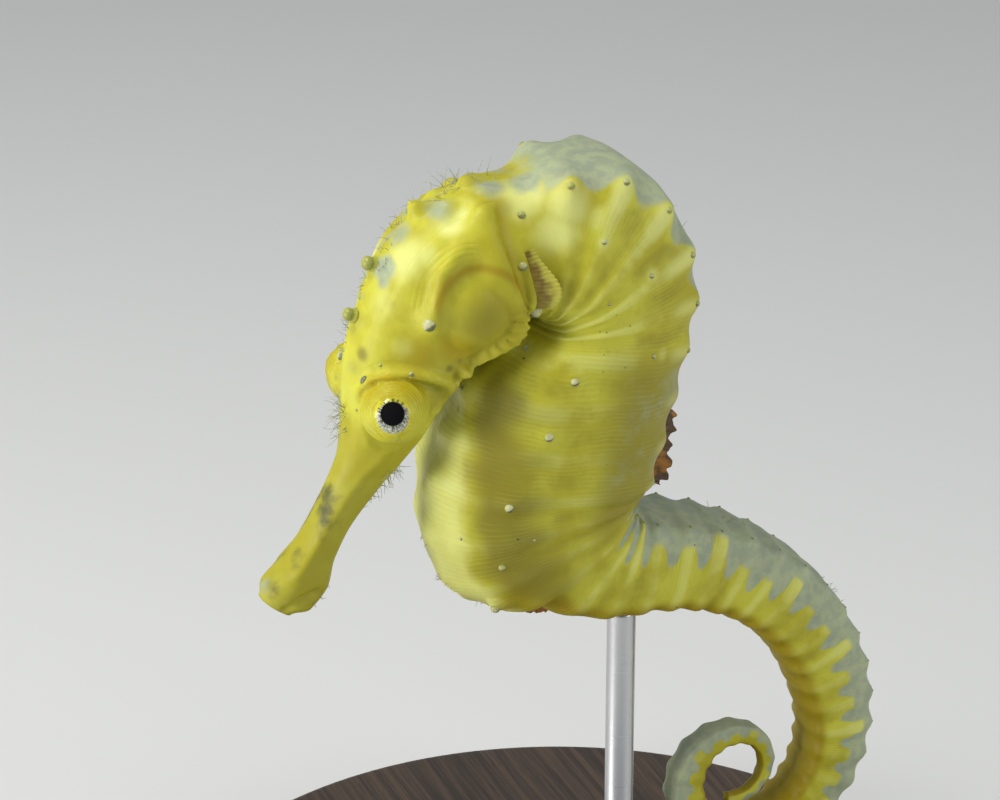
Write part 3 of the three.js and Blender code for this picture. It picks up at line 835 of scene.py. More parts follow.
palette = {  # of the whole animal
    "lemon": (0.55, 0.53, 0.045),
    "deepLemon": (0.42, 0.38, 0.02),
    "pale": (0.72, 0.74, 0.24),
    "olive": (0.24, 0.205, 0.018),
    "amber": (0.32, 0.225, 0.004),
    # a deeper honey that paints shade on the head
    "honeyShade": (0.44, 0.34, 0.006),
    "grey": (0.36, 0.42, 0.31),
    "blueGrey": (0.27, 0.33, 0.29),
    "dark": (0.045, 0.050, 0.028),
}
skinTexture = {  # scales of its noises and specks
    "cloudy": 180,
    "fine": 900,
    "grain": 4500,
    "wander": 120,
    "uneven": 420,
    "pepper": 1500,
    "specks": 420,
    "pleats": (10, 23),  # coarse and fine, on each ring
    "depth": 0.1 * mm,
}
skinShine = {"Specular IOR Level": 0.28, "Subsurface Weight": 0.12, "Subsurface Scale": 0.6 * mm}


def skinFinish():
    f = Finish("seahorseSkin", **skinShine)
    spot = f.place()
    ring, turn = f.attribute("ring"), f.attribute("turn")
    cloudy = f.noise(skinTexture["cloudy"], spot, 4, 0.55)
    fine = f.noise(skinTexture["fine"], spot, 4, 0.6)
    wander = f.noise(skinTexture["wander"], spot, 2)
    grain = f.noise(skinTexture["grain"], spot, 2)
    whole = 2 * math.pi

    # fine pleats that run round the body, and a paler band on each ring
    onTrunk = f.span(ring, -0.4, 3.5, 26, 34) * f.smooth(turn, 28, 60)
    uneven = f.smooth(f.noise(skinTexture["uneven"], spot, 3), 0.4, 0.62)
    coarse, close = skinTexture["pleats"]
    pleats = f.maths("SINE", (ring * coarse + wander * 5 + turn * 0.006) * whole)
    closePleats = f.maths("SINE", (ring * close + wander * 5) * whole)
    pleats = (pleats * (0.15 + uneven * 0.85) + closePleats * 0.4) * onTrunk
    band = f.maths("COSINE", (ring + wander * 0.5 - 0.25) * whole) * onTrunk

    # the tones, each laid over the ones before it
    colour = f.mix(f.smooth(cloudy, 0.38, 0.62), palette["deepLemon"], palette["lemon"])
    patchy = f.smooth(cloudy, 0.35, 0.65)
    colour = f.mix(f.smooth(band, 0.1, 1.0) * patchy * 0.4, colour, palette["pale"])
    colour = f.mix(f.smooth(0 - band, 0.0, 1.0) * (1 - patchy) * 0.4, colour, palette["olive"])
    # olive patches, partly painted shade: over the gill cover's dome, and on the trunk's flank
    olive = f.smooth(f.attribute("olive") + (cloudy - 0.5) * 0.5 + band * 0.06, 0.1, 0.9)
    colour = f.mix(olive * 0.9, colour, palette["olive"])
    amber = f.smooth(f.attribute("amber") + (fine - 0.5) * 0.3, 0.15, 0.9)
    colour = f.mix(amber * 0.85, colour, palette["amber"])
    # painted shade where the head lies in shade, in deeper honey
    warm = f.smooth(f.attribute("warm") + (cloudy - 0.5) * 0.4 + (fine - 0.5) * 0.3, 0.15, 0.95)
    colour = f.mix(warm * 0.75, colour, palette["honeyShade"])
    # pale patches, partly painted light: the head's lit upper planes and the belly's lit face
    bright = f.smooth(f.attribute("bright") + (cloudy - 0.5) * 0.4, 0.2, 0.9)
    colour = f.mix(bright * 0.85, colour, palette["pale"])
    colour = f.mix(f.smooth(pleats, 0.1, 1.2) * 0.09, colour, palette["pale"])
    colour = f.mix(f.smooth(0 - pleats, 0.1, 1.2) * 0.11, colour, palette["olive"])

    # folds over the gill cover and round the eye, with painted shade in their troughs, round the gill
    # cover's dome, under the flap's edge and under the brow
    gillRing, eyeSpread = f.attribute("gillRing"), f.attribute("eyeSpread")
    flapEdge, above = f.attribute("flapEdge"), f.attribute("overGill")
    arcs = f.maths("SINE", gillRing * 15 + wander * 34) * above * f.span(gillRing, -0.1, 0.2, 1.8, 2.6)
    arcs = arcs * f.smooth(flapEdge, 0.1, 0.4) * f.smooth(cloudy + fine * 0.5, 0.6, 0.85)
    outlineShade = (1 - f.smooth(f.maths("ABSOLUTE", gillRing), 0.0, 0.6)) * (0.35 + above * 0.9)
    eyeFolds = f.maths("SINE", eyeSpread * 0.9 + wander * 7) * f.span(eyeSpread, 40, 46, 85, 105)
    flapShadow = f.span(flapEdge, -0.9, -0.15, -0.1, 0.05)
    # painted shade under the brow, and in the troughs of the lid's folds
    brow = f.attribute("brow") * f.smooth(fine, 0.3, 0.6)
    colour = f.mix(brow * 0.8 + f.smooth(0 - eyeFolds, 0.1, 1) * 0.25, colour, palette["honeyShade"])
    # painted shade in amber: the arcs' troughs, the crease round the dome and the shadow under the
    # flap's edge
    shade = f.smooth(0 - arcs, 0.1, 1) * 0.3 + outlineShade * 0.65
    colour = f.mix(shade + flapShadow * 0.5, colour, palette["amber"])

    # grey and dark patches
    greyTone = f.mix(f.smooth(fine, 0.4, 0.62), palette["blueGrey"], palette["grey"])
    greyShare = f.smooth(f.attribute("grey") + (cloudy - 0.5) * 0.9 + (fine - 0.5) * 0.5, 0.25, 0.75)
    colour = f.mix(greyShare * 0.8, colour, greyTone)
    darkShare = f.smooth(f.attribute("dark") + (fine - 0.5) * 1.1 + (cloudy - 0.5) * 0.6, 0.15, 0.9)
    colour = f.mix(darkShare * 0.85, colour, palette["dark"])

    # black specks, scattered, and a finer peppering beside the back's ridges
    beside = f.span(turn, 60, 76, 100, 116) * f.span(ring, 0.5, 2, 8, 9)
    pepper = f.node("ShaderNodeTexVoronoi", {}, {"Vector": spot, "Scale": skinTexture["pepper"]})
    peppered = (1 - f.smooth(pepper, 0.10, 0.16)) * beside * f.smooth(cloudy, 0.5, 0.62)
    colour = f.mix(peppered * 0.6, colour, palette["dark"])
    cells = f.node("ShaderNodeTexVoronoi", {}, {"Vector": spot, "Scale": skinTexture["specks"]})
    picked = f.node("ShaderNodeSeparateColor", {}, {"Color": cells.beside("Color")})
    speck = (1 - f.smooth(cells, 0.035, 0.06)) * f.smooth(picked, 0.6, 0.62) * f.smooth(ring, 0.2, 0.8)
    colour = f.mix(speck * 0.85, colour, palette["dark"])
    height = pleats * 0.055 + band * 0.2 + arcs * 0.09 + eyeFolds * 0.16
    height = height + fine * 0.35 + grain * 0.1 + cloudy * 0.5
    folded = f.bump(height, skinTexture["depth"], 0.9)
    return f.set(Base_Color=colour, Roughness=0.4 + fine * 0.2, Normal=folded)


cover(skin, skinFinish())


def skinSpots(spots):  # points of the finished skin and the ways out of it
    at, angle = np.array(spots, float).T
    here = modelSkin(at, angle)[0]
    along = modelSkin(at + 0.06, angle)[0] - here
    across = modelSkin(at, angle + 0.8)[0] - here
    way = unit(np.cross(along, across))
    outside = (way * (here - frameAt(at)[0])).sum(-1) > 0
    return here, np.where(outside[:, None], way, -way)


def dotted(name, spots, size, depth=0.0):  # loose points that a recipe grows something on
    places, ways = skinSpots([spot[:2] for spot in spots])
    piece = meshPiece(name, places - ways * np.reshape(depth, (-1, 1)), [])
    paint(piece, "way", ways, "FLOAT_VECTOR")
    paint(piece, "size", np.array(size) * mm)
    return piece


tubercles = {  # small pale knobs on short stalks
    "single": [  # on the left side, repeated on the right: place, degrees, radius, greenness
        (20.6, 36, 0.42, 0.1), (23.2, 66, 0.22, 0.3), (27.4, 61, 0.54, 0.0), (34.2, 75, 0.4, 0.4),
        (34.1, 126, 0.58, 0.0), (31.4, 128, 0.26, 0.3), (38.3, 68, 0.26, 0.3),
        (41.2, 64, 0.24, 0.4), (45.4, 66, 0.24, 0.4), (47.3, 111, 0.36, 0.0), (52.1, 115, 0.4, 0.1),
        (58.3, 122.5, 0.38, 0.0), (61.4, 125, 0.3, 0.2), (63.4, 140, 0.42, 0.3),
        (45.8, 152, 0.26, 0.2), (40.9, 87, 0.14, 0.2), (60.0, 142, 0.14, 0.0),
        (60.4, 112, 0.12, 0.0), (22.4, 44, 0.16, 0.6), (18.0, 30, 0.14, 0.6),
    ],
    "middle": [(24.4, 0, 0.55, 1.0), (28.8, 1, 0.6, 1.0)],  # on the back's middle line
    "rows": [  # one on each ring: first ring, last ring, degrees, radius at each end
        (0, 6, 44, 0.34, 0.26), (4, 7, 178, 0.26, 0.24), (9, 27, 40, 0.2, 0.1),
    ],
    "stalk": 0.7,  # this and the rest are in radii of the knob
    "sunk": 0.9,
    "tall": 0.85,
    "waist": 0.72,
    "foot": 1.25,
    "around": 18,  # corners of a knob's ring
}


def placeOfRing(number):
    along = np.linspace(30, lineLength, 3000)
    return np.interp(number, ringAt(along), along)


def tubercleList():
    spots = []
    for place, degrees, size, green in tubercles["single"]:
        spots += [(place, degrees, size, green), (place, -degrees, size, green)]
    spots += tubercles["middle"]
    for first, last, degrees, start, end in tubercles["rows"]:
        for number in range(first, last + 1):
            place = float(placeOfRing(number))
            shift = float(twistAt(place))
            size = start + (end - start) * (number - first) / (last - first)
            green = 0.6 + 0.25 * math.sin(number * 2.3 + degrees)
            spots += [(place, degrees - shift, size, green), (place, -degrees - shift, size, green)]
    return spots


def addTubercles():
    spots = tubercleList()
    # the wholly green ones stand on the skin, the rest are sunk in it
    depth = [0 if spot[3] == 1 else tubercles["sunk"] * spot[2] for spot in spots]
    piece = dotted("tubercles", spots, [spot[2] for spot in spots], depth)
    paint(piece, "green", [spot[3] for spot in spots])
    g = Recipe(
        "tubercleRecipe",
        Stalk=("Float", tubercles["stalk"]),
        Waist=("Float", tubercles["waist"]),
        Foot=("Float", tubercles["foot"]),
        Material=("Material", tubercleFinish()),
    )
    stalkLength, around = g.given("Stalk"), tubercles["around"]
    inputs = {"Segments": around, "Rings": around * 2 // 3, "Radius": 1.0}
    ball = g.node("GeometryNodeMeshUVSphere", {}, inputs)
    lift = g.node("ShaderNodeCombineXYZ", {}, {2: stalkLength})
    inputs = {"Geometry": ball, "Translation": lift, "Scale": (1, 1, tubercles["tall"])}
    ball = g.node("GeometryNodeTransform", {}, inputs)
    inputs = {"Vertices": around, "Side Segments": 4, "Depth": stalkLength * 1.6}
    inputs |= {"Radius Top": g.given("Waist"), "Radius Bottom": g.given("Foot")}
    stalk = g.node("GeometryNodeMeshCone", {}, inputs)
    down = g.node("ShaderNodeCombineXYZ", {}, {2: stalkLength * -0.6})
    stalk = g.node("GeometryNodeTransform", {}, {"Geometry": stalk, "Translation": down})
    knob = g.store(g.join(stalk, ball), "knob", g.node("GeometryNodeInputPosition"), "FLOAT_VECTOR")
    g.finish(g.onPoints(knob, g.upright()))
    g.grow(piece)
    smoothFaces(piece.data)
    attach(piece, "root")
    return len(spots)


tubercleShine = {"Specular IOR Level": 0.5, "Subsurface Weight": 0.2, "Subsurface Scale": 0.6 * mm}


def tubercleFinish():
    f = Finish("tubercleSkin", **tubercleShine)
    across = f.node("ShaderNodeSeparateXYZ", {}, {0: f.attribute("knob", "Vector")})
    high = across.beside("Z")
    cloudy = f.noise(1400, f.place(), 3)
    white = f.mix(f.smooth(cloudy, 0.35, 0.65), (0.52, 0.54, 0.31), (0.44, 0.44, 0.16))
    colour = f.mix(f.attribute("green"), white, (0.36, 0.38, 0.07))
    colour = f.mix(1 - f.smooth(high, -0.5, 0.3), colour, palette["lemon"])
    # painted shade on each knob's lower side
    lowerShade = f.smooth(across + cloudy * 0.6, 0.4, 0.6) * f.smooth(high, 0.25, 0.5)
    colour = f.mix(lowerShade * 0.8 * (1 - f.attribute("green") * 0.8), colour, palette["dark"])
    return f.set(Base_Color=colour, Roughness=0.3 + cloudy * 0.15)


algae = {  # clusters of threads that grow on the skin
    "clusters": [  # place, degrees, threads, length, spread
        (17.2, -2, 26, 1.9, 0.6), (15.6, -4, 14, 1.4, 0.5), (14.6, 150, 22, 1.3, 0.8),
        (12.4, 155, 14, 1.1, 0.7), (21.6, -12, 10, 0.9, 0.5), (23.0, -18, 10, 0.8, 0.6),
        (26.6, -8, 10, 0.8, 0.6), (28.6, -6, 8, 0.8, 0.5), (33.3, -8, 28, 1.8, 0.8),
        (31.6, -10, 12, 1.2, 0.6), (30.2, 6, 8, 0.6, 0.6), (42.6, 2, 12, 1.0, 0.8),
        (44.4, 4, 12, 1.0, 0.8), (51.4, 2, 14, 1.1, 0.8), (62.0, 172, 12, 0.7, 0.9),
        (78.0, 10, 10, 0.7, 0.8), (90.0, 20, 10, 0.6, 0.8), (2.4, 140, 8, 0.5, 0.6),
    ],
    "thickness": 0.034,
    "curl": 0.22,
    "root": 0.12,  # share of the length that is sunk in the skin
    "lean": (0.9, 0.9, 3.1),
    "steps": 9,
    "sides": 4,
    "seed": 11,
    "patch": 0.003,  # size of a thread's part of the bake
}


def addAlgae():
    rng = np.random.default_rng(algae["seed"])
    spots, size = [], []
    for place, degrees, threads, length, spread in algae["clusters"]:
        girth = math.radians(1) * float(max(sideOf(place), 1.5))
        for _ in range(threads):
            along, across = rng.normal(0, spread, 2)
            spots.append((min(max(place + along, 0.6), lineLength - 4), degrees + across / girth))
            size.append(length * rng.uniform(0.45, 1.1))
    piece = dotted("algaeThreads", spots, size)
    flat = [((angle % 360) / 360, place / lineLength, 0) for place, angle in spots]
    paint(piece, "unwrapped", flat, "FLOAT_VECTOR")
    g = Recipe(
        "algaeRecipe",
        Thickness=("Float", algae["thickness"] * mm),
        Curl=("Float", algae["curl"] * mm),
        Seed=("Int", algae["seed"]),
        Material=("Material", algaeFinish()),
    )
    inputs = {"Start": (0, 0, -algae["root"]), "End": (0, 0, 1)}
    line = g.node("GeometryNodeCurvePrimitiveLine", {}, inputs)
    line = g.node("GeometryNodeResampleCurve", {}, {"Curve": line, "Count": algae["steps"]})
    least, most = tuple(-angle for angle in algae["lean"]), algae["lean"]
    inputs = {"Min": least, "Max": most, "Seed": g.given("Seed")}
    lean = g.node("FunctionNodeRandomValue", {"data_type": "FLOAT_VECTOR"}, inputs)
    inputs = {"Rotation": g.upright(), "Rotate By": lean}
    turn = g.node("FunctionNodeRotateRotation", {"rotation_space": "LOCAL"}, inputs)
    threads = g.node("GeometryNodeRealizeInstances", {}, {"Geometry": g.onPoints(line, turn)})
    along = g.node("GeometryNodeSplineParameter", output="Factor")
    inputs = {"Vector": g.node("GeometryNodeInputPosition"), "Scale": 900.0, "Detail": 2.0}
    drift = g.node("ShaderNodeTexNoise", {}, inputs, output="Color")
    drift = g.vector("SUBTRACT", drift, (0.5, 0.5, 0.5))
    inputs = {0: drift, "Scale": along * g.given("Curl") * 5}
    reach = g.node("ShaderNodeVectorMath", {"operation": "SCALE"}, inputs)
    threads = g.node("GeometryNodeSetPosition", {}, {"Geometry": threads, "Offset": reach})
    threads = g.store(threads, "tip", along)
    taper = g.given("Thickness") * (1 - along * 0.6)
    inputs = {"Resolution": algae["sides"], "Radius": 1.0}
    circle = g.node("GeometryNodeCurvePrimitiveCircle", {}, inputs)
    inputs = {"Curve": threads, "Profile Curve": circle, "Scale": taper, "Fill Caps": True}
    g.finish(g.node("GeometryNodeCurveToMesh", {}, inputs))
    g.grow(piece)
    spreadPatches(piece)
    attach(piece, "root")
    return len(spots)


def spreadPatches(piece):  # each thread is a small patch at its root's place on the skin unwrapped
    mesh = piece.data
    roots = np.zeros(len(mesh.vertices) * 3, np.float32)
    mesh.attributes["unwrapped"].data.foreach_get("vector", roots)
    tips = np.zeros(len(mesh.vertices), np.float32)
    mesh.attributes["tip"].data.foreach_get("value", tips)
    corners = np.zeros(len(mesh.loops), np.int32)
    mesh.loops.foreach_get("vertex_index", corners)
    flat = roots.reshape(-1, 3)[corners, :2]
    flat[:, 1] += (tips[corners] - 0.5) * algae["patch"]
    flat[:, 0] += ((np.arange(len(corners)) % 4) / 3 - 0.5) * algae["patch"] * 0.5
    layer = mesh.uv_layers.new(name="OFBake")
    layer.data.foreach_set("uv", flat.ravel())


def algaeFinish():
    f = Finish("algaeThread", Roughness=0.6)
    cloudy = f.noise(700, f.place(), 2)
    colour = f.mix(f.smooth(cloudy, 0.3, 0.7), (0.36, 0.39, 0.27), (0.26, 0.27, 0.12))
    return f.set(Base_Color=f.mix(f.attribute("tip") * 0.5, colour, (0.50, 0.52, 0.40)))


print("tubercles:", addTubercles())
print("algae threads:", addAlgae())


def addEye(side, mirror):
    axis = eyeAxis()
    across = unit(np.cross(axis, [0, 0, 1.0]))
    over = np.cross(across, axis)
    tilts = np.radians(np.concatenate([np.linspace(0, 60, 49), np.linspace(63, 180, 30)]))[1:-1]
    spins = np.radians(np.arange(0, 360, eye["spinStep"]))
    local = [(0.0, 0.0, 1.0)]
    for t in tilts:
        local += [(math.sin(t) * math.cos(s), math.sin(t) * math.sin(s), math.cos(t)) for s in spins]
    local.append((0.0, 0.0, -1.0))
    local = np.array(local)
    fromAxis = np.hypot(local[:, 0], local[:, 1]) * eye["radius"]
    hollow = eye["hollow"] * smoothStep(eye["pupil"] + 0.05 - fromAxis, 0, 0.12) * (local[:, 2] > 0)
    radius = (eye["radius"] - hollow)[:, None]
    points = eyeCentre + radius * (local[:, :1] * across + local[:, 1:2] * over + local[:, 2:] * axis)
    many = len(spins)
    faces = capFaces(0, 1, many)
    for row in range(len(tilts) - 1):
        faces += loopFaces(1 + row * many, 1 + (row + 1) * many, many)
    a = 1 + (len(tilts) - 1) * many
    faces += [(a + k, len(points) - 1, a + (k + 1) % many) for k in range(many)]
    if mirror < 0:
        points = points * [-1, 1, 1]
        faces = [face[::-1] for face in faces]
    piece = meshPiece(f"eyeball_{side}", points, faces)
    paint(piece, "iris", local * eye["radius"], "FLOAT_VECTOR")
    cover(piece, eyeSurface)
    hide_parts(f"eye_{side}")
    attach(piece, "root")


def eyeFinish():
    f = Finish("seahorseEye", **{"Specular IOR Level": 0.08, "Coat Roughness": 0.1})
    iris = f.attribute("iris", "Vector")
    flat = f.vector("MULTIPLY", iris, (1, 1, 0))
    fromAxis = f.vector("LENGTH", flat, output="Value")
    way = f.vector("NORMALIZE", flat)
    down = f.vector("DISTANCE", flat, (0, -0.3, 0), output="Value")
    streak = f.noise(6.5, way, 3, 0.6)
    grain = f.noise(9, iris, 3, 0.7)
    pupil = 1 - f.smooth(fromAxis + streak * 0.1 - 0.05, eye["pupil"], eye["pupil"] + 0.05)
    ring = 1 - f.smooth(down + grain * 0.3 - 0.15, 1.2, 1.36)
    tick = f.smooth(streak, 0.46, 0.54) * (1 - f.smooth(fromAxis + (streak - 0.5), 1.2, 1.4))
    lens = f.smooth(grain, 0.38, 0.62)
    yellow = f.mix(lens, (0.50, 0.42, 0.015), (0.66, 0.62, 0.05))
    silver = f.mix(lens, (0.16, 0.17, 0.12), (0.66, 0.67, 0.56))
    colour = f.mix(ring, yellow, silver)
    colour = f.mix(tick * 0.85, colour, (0.03, 0.035, 0.015))
    colour = f.mix(pupil, colour, (0.003, 0.003, 0.004))
    return f.set(Base_Color=colour, Roughness=0.3 + pupil * 0.5, Coat_Weight=(1 - pupil) * 0.4)


eyeSurface = eyeFinish()
for side, mirror in (("left", 1), ("right", -1)):
    addEye(side, mirror)
print("eyes: 2 pieces")


# the fins are thin corrugated webs of membrane between rays
def sheetPiece(name, grid, ways, thickness):  # a closed web from a grid of points
    rows, columns = grid.shape[:2]
    half = (ways * thickness[..., None] / 2).reshape(-1, 3)
    points = np.vstack([grid.reshape(-1, 3) + half, grid.reshape(-1, 3) - half])
    under = rows * columns
    faces = []
    for i in range(rows - 1):
        for k in range(columns - 1):
            a = i * columns + k
            faces.append((a, a + columns, a + columns + 1, a + 1))
            faces.append((under + a, under + a + 1, under + a + columns + 1, under + a + columns))
    index = np.arange(rows * columns).reshape(rows, columns)
    ring = [*index[0], *index[1:, -1], *index[-1, -2::-1], *index[-2:0:-1, 0]]
    ring = [int(corner) for corner in ring]
    for a, b in zip(ring, ring[1:] + ring[:1]):
        faces.append((a, b, under + b, under + a))
    return meshPiece(name, points, faces)


def fanGrid(rays, roots, tips, bow):  # the last three are functions of 0 to 1 along the fin's root
    t = np.linspace(0, 1, rays * finGrid["perRay"] + 1)
    phase = np.cos(2 * np.pi * t * rays)
    d = np.linspace(0, 1, finGrid["rows"])
    root, tip = roots(t), tips(t, phase)
    grid = root[None] + (tip - root)[None] * d[:, None, None]
    grid = grid + bow(t)[None] * (4 * d * (1 - d))[:, None, None]
    return grid, d, phase


def finishFin(piece, d, phase, surface, node):
    paint(piece, "outward", np.tile(np.repeat(d, len(phase)), 2))
    paint(piece, "ray", np.tile(phase, 2 * len(d)))
    cover(piece, surface)
    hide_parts(node)
    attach(piece, "root")


finGrid = {"perRay": 6, "rows": 14, "sunk": 0.8}
dorsalFin = {"from": 52.4, "to": 61.6, "height": 3.8, "lean": 25, "rays": 17, "tatter": 0.55}
analFin = {"from": 65.2, "to": 66.6, "height": 1.2, "lean": 20, "rays": 4, "tatter": 0.1}
pectoralFin = {
    "from": 34.3,
    "to": 33.7,
    "high": 2.9,
    "low": -1.9,
    "length": 2.3,
    "spread": 42,
    "fan": 40,
    "rays": 15,
}


def addMiddleFin(name, node, fin, toBack):
    reach = backOf if toBack > 0 else bellyOf

    def roots(t):
        at = fin["from"] + (fin["to"] - fin["from"]) * t
        return onBody(at, (toBack * (reach(at) - finGrid["sunk"]))[:, None], 0)

    def tips(t, phase):
        at = fin["from"] + (fin["to"] - fin["from"]) * t
        _, along, back = frameAt(at)
        tilt = np.radians(fin["lean"]) * (0.4 + t)
        way = back * (toBack * np.cos(tilt))[:, None] + along * np.sin(tilt)[:, None]
        ragged = fin["tatter"] * (np.sin(t * 31) * np.sin(t * 17 + 1) - 0.6)
        long = fin["height"] * (0.55 + 0.45 * np.sin(np.pi * t) ** 0.6) + finGrid["sunk"]
        return roots(t) + way * (long + 0.06 * phase + ragged)[:, None]

    def bow(t):
        return np.outer(0.25 * np.sin(t * 7), left)

    grid, d, phase = fanGrid(fin["rays"], roots, tips, bow)
    thickness = (0.28 + 0.1 * phase)[None] * (1 - 0.6 * d)[:, None]
    piece = sheetPiece(name, grid, np.broadcast_to(left, grid.shape), thickness)
    finishFin(piece, d, phase, middleSurface, node)


def addSideFin(side, mirror):
    fin = pectoralFin

    def roots(t):
        at = fin["from"] + (fin["to"] - fin["from"]) * t
        up = fin["high"] + (fin["low"] - fin["high"]) * t
        return onBody(at, up[:, None], (sideOf(at) - finGrid["sunk"])[:, None])

    def tips(t, phase):
        at = fin["from"] + (fin["to"] - fin["from"]) * t
        _, along, back = frameAt(at)
        fan, spread = np.radians(fin["fan"]) * (0.5 - t), math.radians(fin["spread"])
        way = along * np.cos(fan)[:, None] + back * np.sin(fan)[:, None]
        way = way * math.cos(spread) + left * math.sin(spread)
        long = fin["length"] * np.sin(np.pi * (0.1 + 0.75 * t**1.6)) + finGrid["sunk"] + 0.05 * phase
        return roots(t) + way * long[:, None]

    def bow(t):
        return np.outer(0.15 * np.sin(t * 3), left)

    grid, d, phase = fanGrid(fin["rays"], roots, tips, bow)
    ways = unit(np.cross(np.gradient(grid, axis=1), np.gradient(grid, axis=0)))
    thickness = (0.24 + 0.04 * phase)[None] * (1 - 0.6 * d)[:, None]
    grid, ways = grid * [mirror, 1, 1], ways * [mirror, 1, 1]
    piece = sheetPiece(f"pectoralFin_{side}", grid, ways, thickness)
    finishFin(piece, d, phase, sideSurface, f"pectoral_fin_{side}")


def finFinish(tone):
    f = Finish("finMembrane", Roughness=0.4)
    outward, ray = f.attribute("outward"), f.attribute("ray")
    cloudy = f.noise(900, f.place(), 3)
    inner = f.mix(f.smooth(cloudy, 0.4, 0.62), tone["spot"], tone["web"])
    edge = f.smooth(outward + ray * 0.03 + (cloudy - 0.5) * 0.6, 0.5, 0.85)
    colour = f.mix(edge, inner, tone["edge"])
    colour = f.mix(f.smooth(ray + (cloudy - 0.5) * 0.8, 0.2, 0.9) * 0.22, colour, tone["ray"])
    blotch = f.smooth(f.noise(560, f.place(), 3), 0.47, 0.57) * tone["blotched"]
    return f.set(Base_Color=f.mix(blotch, colour, tone["spot"]))


finTones = {
    "dorsal": {
        "spot": (0.03, 0.018, 0.004),
        "web": (0.36, 0.14, 0.0),
        "edge": (0.30, 0.11, 0.0),
        "ray": (0.32, 0.17, 0.004),
        "blotched": 0.85,
    },
    "side": {
        "spot": (0.22, 0.14, 0.012),
        "web": (0.34, 0.26, 0.03),
        "edge": (0.50, 0.47, 0.05),
        "ray": (0.42, 0.36, 0.05),
        "blotched": 0.0,
    },
}
middleSurface, sideSurface = finFinish(finTones["dorsal"]), finFinish(finTones["side"])
addMiddleFin("dorsalFin", "dorsal_fin", dorsalFin, 1)
addMiddleFin("analFin", "anal_fin", analFin, -1)
for side, mirror in (("left", 1), ("right", -1)):
    addSideFin(side, mirror)
print("fins: 4 pieces")


# the stand is a turned base and two rods, each in a small collar
stand = {
    "foot": 0.6,  # radii of the base's rounded edges, from below
    "step": 1.1,
    "shoulder": 1.2,
    "stepDown": 3.4,  # from the base's top to the middle of the step's rounding
    "rods": ("body", "coil"),
    "radius": 1.25,
    "tipRound": 0.35,
    "collar": 2.3,
    "collarHeight": 1.3,
    "collarRound": 0.4,
    "around": 48,
}


def turned(profile, around, centre):  # a solid of revolution about a standing axis
    points, faces = [], []
    for radius, height in profile[1:-1]:
        for k in range(around):
            a = 2 * math.pi * k / around
            points.append((centre[0] + radius * math.cos(a), centre[1] + radius * math.sin(a), height))
    rows = len(profile) - 2
    for row in range(rows - 1):
        a, b = row * around, (row + 1) * around
        faces += [(a + k, a + (k + 1) % around, b + (k + 1) % around, b + k) for k in range(around)]
    low, high = len(points), len(points) + 1
    points += [(centre[0], centre[1], profile[0][1]), (centre[0], centre[1], profile[-1][1])]
    faces += [(low, (k + 1) % around, k) for k in range(around)]
    top = (rows - 1) * around
    faces += [(high, top + k, top + (k + 1) % around) for k in range(around)]
    return points, faces


def arcOf(centreRadius, centreHeight, radius, start, end, count):
    steps = np.radians(np.linspace(start, end, count))
    return [(centreRadius + radius * math.cos(a), centreHeight + radius * math.sin(a)) for a in steps]


def addStand():
    low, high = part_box("stand_base")
    radius, height = high.x / mm, high.z / mm
    foot, step, shoulder = stand["foot"], stand["step"], stand["shoulder"]
    profile = [(0, 0), (radius - 1.0, 0)] + arcOf(radius - foot, foot, foot, -90, 0, 5)
    profile += arcOf(radius - step, height - stand["stepDown"], step, 0, 70, 6)
    profile += arcOf(radius - 2 * step, height - shoulder, shoulder, 0, 90, 8)
    profile += [(radius - 4, height), (0, height)]
    points, faces = turned(profile, stand["around"] * 4, (0, 0))
    base = meshPiece("standBase", points, faces)
    cover(base, woodFinish())
    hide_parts("stand_base")
    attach(base, "root")
    steel = steelFinish()
    rod, tip, collar, edge = stand["radius"], stand["tipRound"], stand["collar"], stand["collarRound"]
    for name in stand["rods"]:
        low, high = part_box(f"stand_rod_{name}")
        centre = (0, (low.y + high.y) / 2 / mm)
        bottom, top = height + 0.02, high.z / mm
        collarTop = bottom + stand["collarHeight"]
        profile = [(0, bottom), (collar, bottom), (collar, collarTop - edge)]
        profile += arcOf(collar - edge, collarTop - edge, edge, 0, 90, 5)
        profile += [(rod + 0.1, collarTop), (rod, collarTop + 0.1)]
        profile += arcOf(rod - tip, top - tip, tip, 0, 90, 6) + [(0, top)]
        points, faces = turned(profile, stand["around"], centre)
        post = meshPiece(f"standRod_{name}", points, faces)
        cover(post, steel)
        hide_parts(f"stand_rod_{name}")
        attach(post, "root")


def woodFinish():
    f = Finish("darkWood", **{"Coat Weight": 0.15, "Coat Roughness": 0.3})
    drawn = f.node("ShaderNodeMapping", {}, {"Vector": f.place(), "Scale": (14, 520, 520)})
    grain = f.noise(3.0, drawn, 4, 0.6)
    pores = f.noise(14.0, drawn, 2)
    colour = f.mix(f.smooth(grain, 0.35, 0.65), (0.030, 0.018, 0.011), (0.075, 0.046, 0.027))
    colour = f.mix(f.smooth(pores, 0.58, 0.68) * 0.6, colour, (0.012, 0.008, 0.006))
    return f.set(Base_Color=colour, Roughness=0.38 + grain * 0.15, Normal=f.bump(pores, 0.1 * mm, 0.3))


def steelFinish():
    f = Finish("brushedSteel", Metallic=1.0)
    drawn = f.node("ShaderNodeMapping", {}, {"Vector": f.place(), "Scale": (1, 1, 40)})
    brushed = f.noise(120, drawn, 3)
    scratches = f.bump(brushed, 0.05 * mm, 0.2)
    return f.set(Base_Color=(0.55, 0.55, 0.56), Roughness=0.22 + brushed * 0.18, Normal=scratches)


addStand()
print("stand: base and 2 rods")

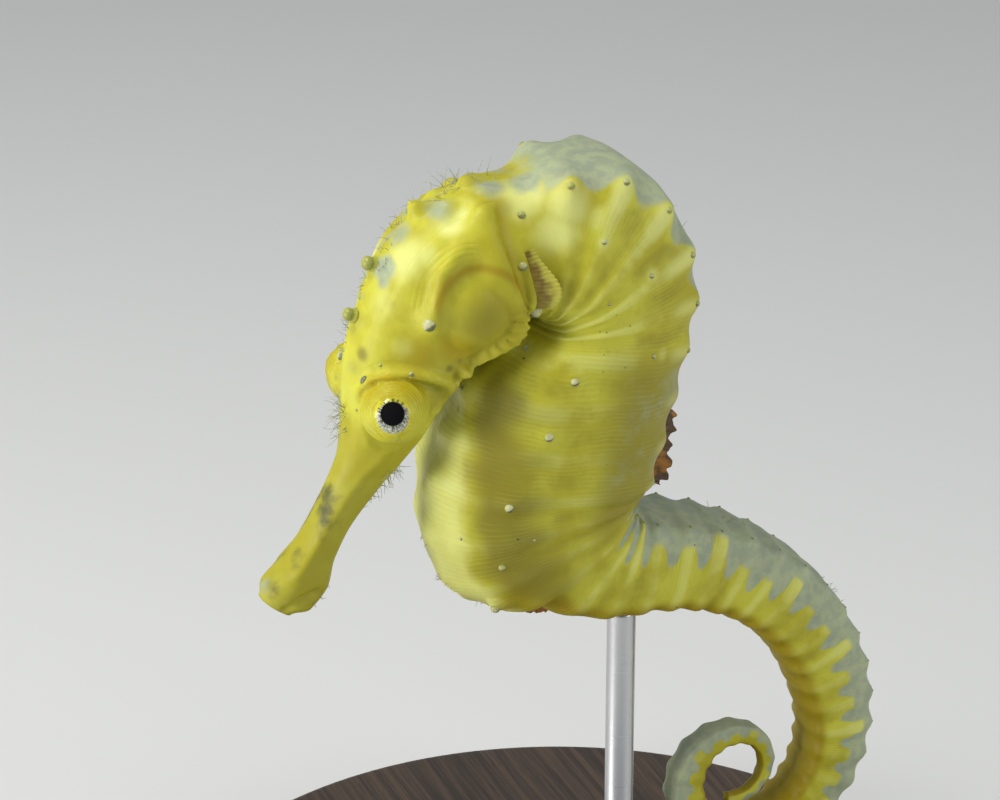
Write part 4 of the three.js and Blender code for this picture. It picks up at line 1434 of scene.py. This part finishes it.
camera = {
    "azimuth": 68,
    "elevation": 24,
    "distance": 300,
    "reference": (0.0, -2.0, 59.2),  # a point of the body
    "aside": -3.667,  # from it to the middle of the view
    "above": 2.333,
    "lens": 129.6,
    "sensor": 36,
    "clip": (0.01, 20),
}


def placed(name, data, position, way):  # a camera or a light that looks back along a way
    made = linked(name, data)
    made.location = position * mm
    made.rotation_mode = "QUATERNION"
    made.rotation_quaternion = way.to_track_quat("Z", "Y")
    return made


def addCamera():
    a, e = math.radians(camera["azimuth"]), math.radians(camera["elevation"])
    back = Vector((math.sin(a) * math.cos(e), -math.cos(a) * math.cos(e), math.sin(e)))
    right = Vector((math.cos(a), math.sin(a), 0))
    aim = Vector(camera["reference"]) + right * camera["aside"] + back.cross(right) * camera["above"]
    data = bpy.data.cameras.new("camera")
    data.lens, data.sensor_width = camera["lens"], camera["sensor"]
    data.clip_start, data.clip_end = camera["clip"]
    bpy.context.scene.camera = placed("camera", data, aim + back * camera["distance"], back)
    return aim, right, back.cross(right), back


studio = {
    "lights": [  # to the right of the camera, above and behind it, size, power and colour
        ("keyLight", (-170, 320, 190), 120, 1.1, (1.0, 0.99, 0.95)),
        ("sideLight", (-320, -20, 150), 160, 0.8, (1.0, 1.0, 0.97)),
        ("fillLight", (320, 60, 200), 220, 0.5, (1.0, 1.0, 1.0)),
    ],
    "sky": (0.9, 0.95, 1.0, 1),
    "skyStrength": 0.34,
    "floorReach": 1500,
    "floorTone": (0.72, 0.72, 0.71),
}


def addStudio(aim, right, upward, back):
    for name, (aside, above, behind), size, power, colour in studio["lights"]:
        data = bpy.data.lights.new(name, "AREA")
        data.shape, data.size, data.energy, data.color = "DISK", size * mm, power, colour
        way = right * aside + upward * above + back * behind
        placed(name, data, aim + way, way)
    world = bpy.data.worlds.new("studio")
    bpy.context.scene.world = world
    world.use_nodes = True
    sky = world.node_tree.nodes["Background"].inputs
    sky["Color"].default_value, sky["Strength"].default_value = studio["sky"], studio["skyStrength"]
    reach = studio["floorReach"]
    corners = [(-reach, -reach, 0), (reach, -reach, 0), (reach, reach, 0), (-reach, reach, 0)]
    floor = meshPiece("floor", corners, [(0, 1, 2, 3)])
    cover(floor, Finish("paleFloor", Roughness=0.8).set(Base_Color=studio["floorTone"]))


addStudio(*addCamera())
bpy.context.scene.view_settings.view_transform = "Standard"
print("studio: camera, lights and floor")
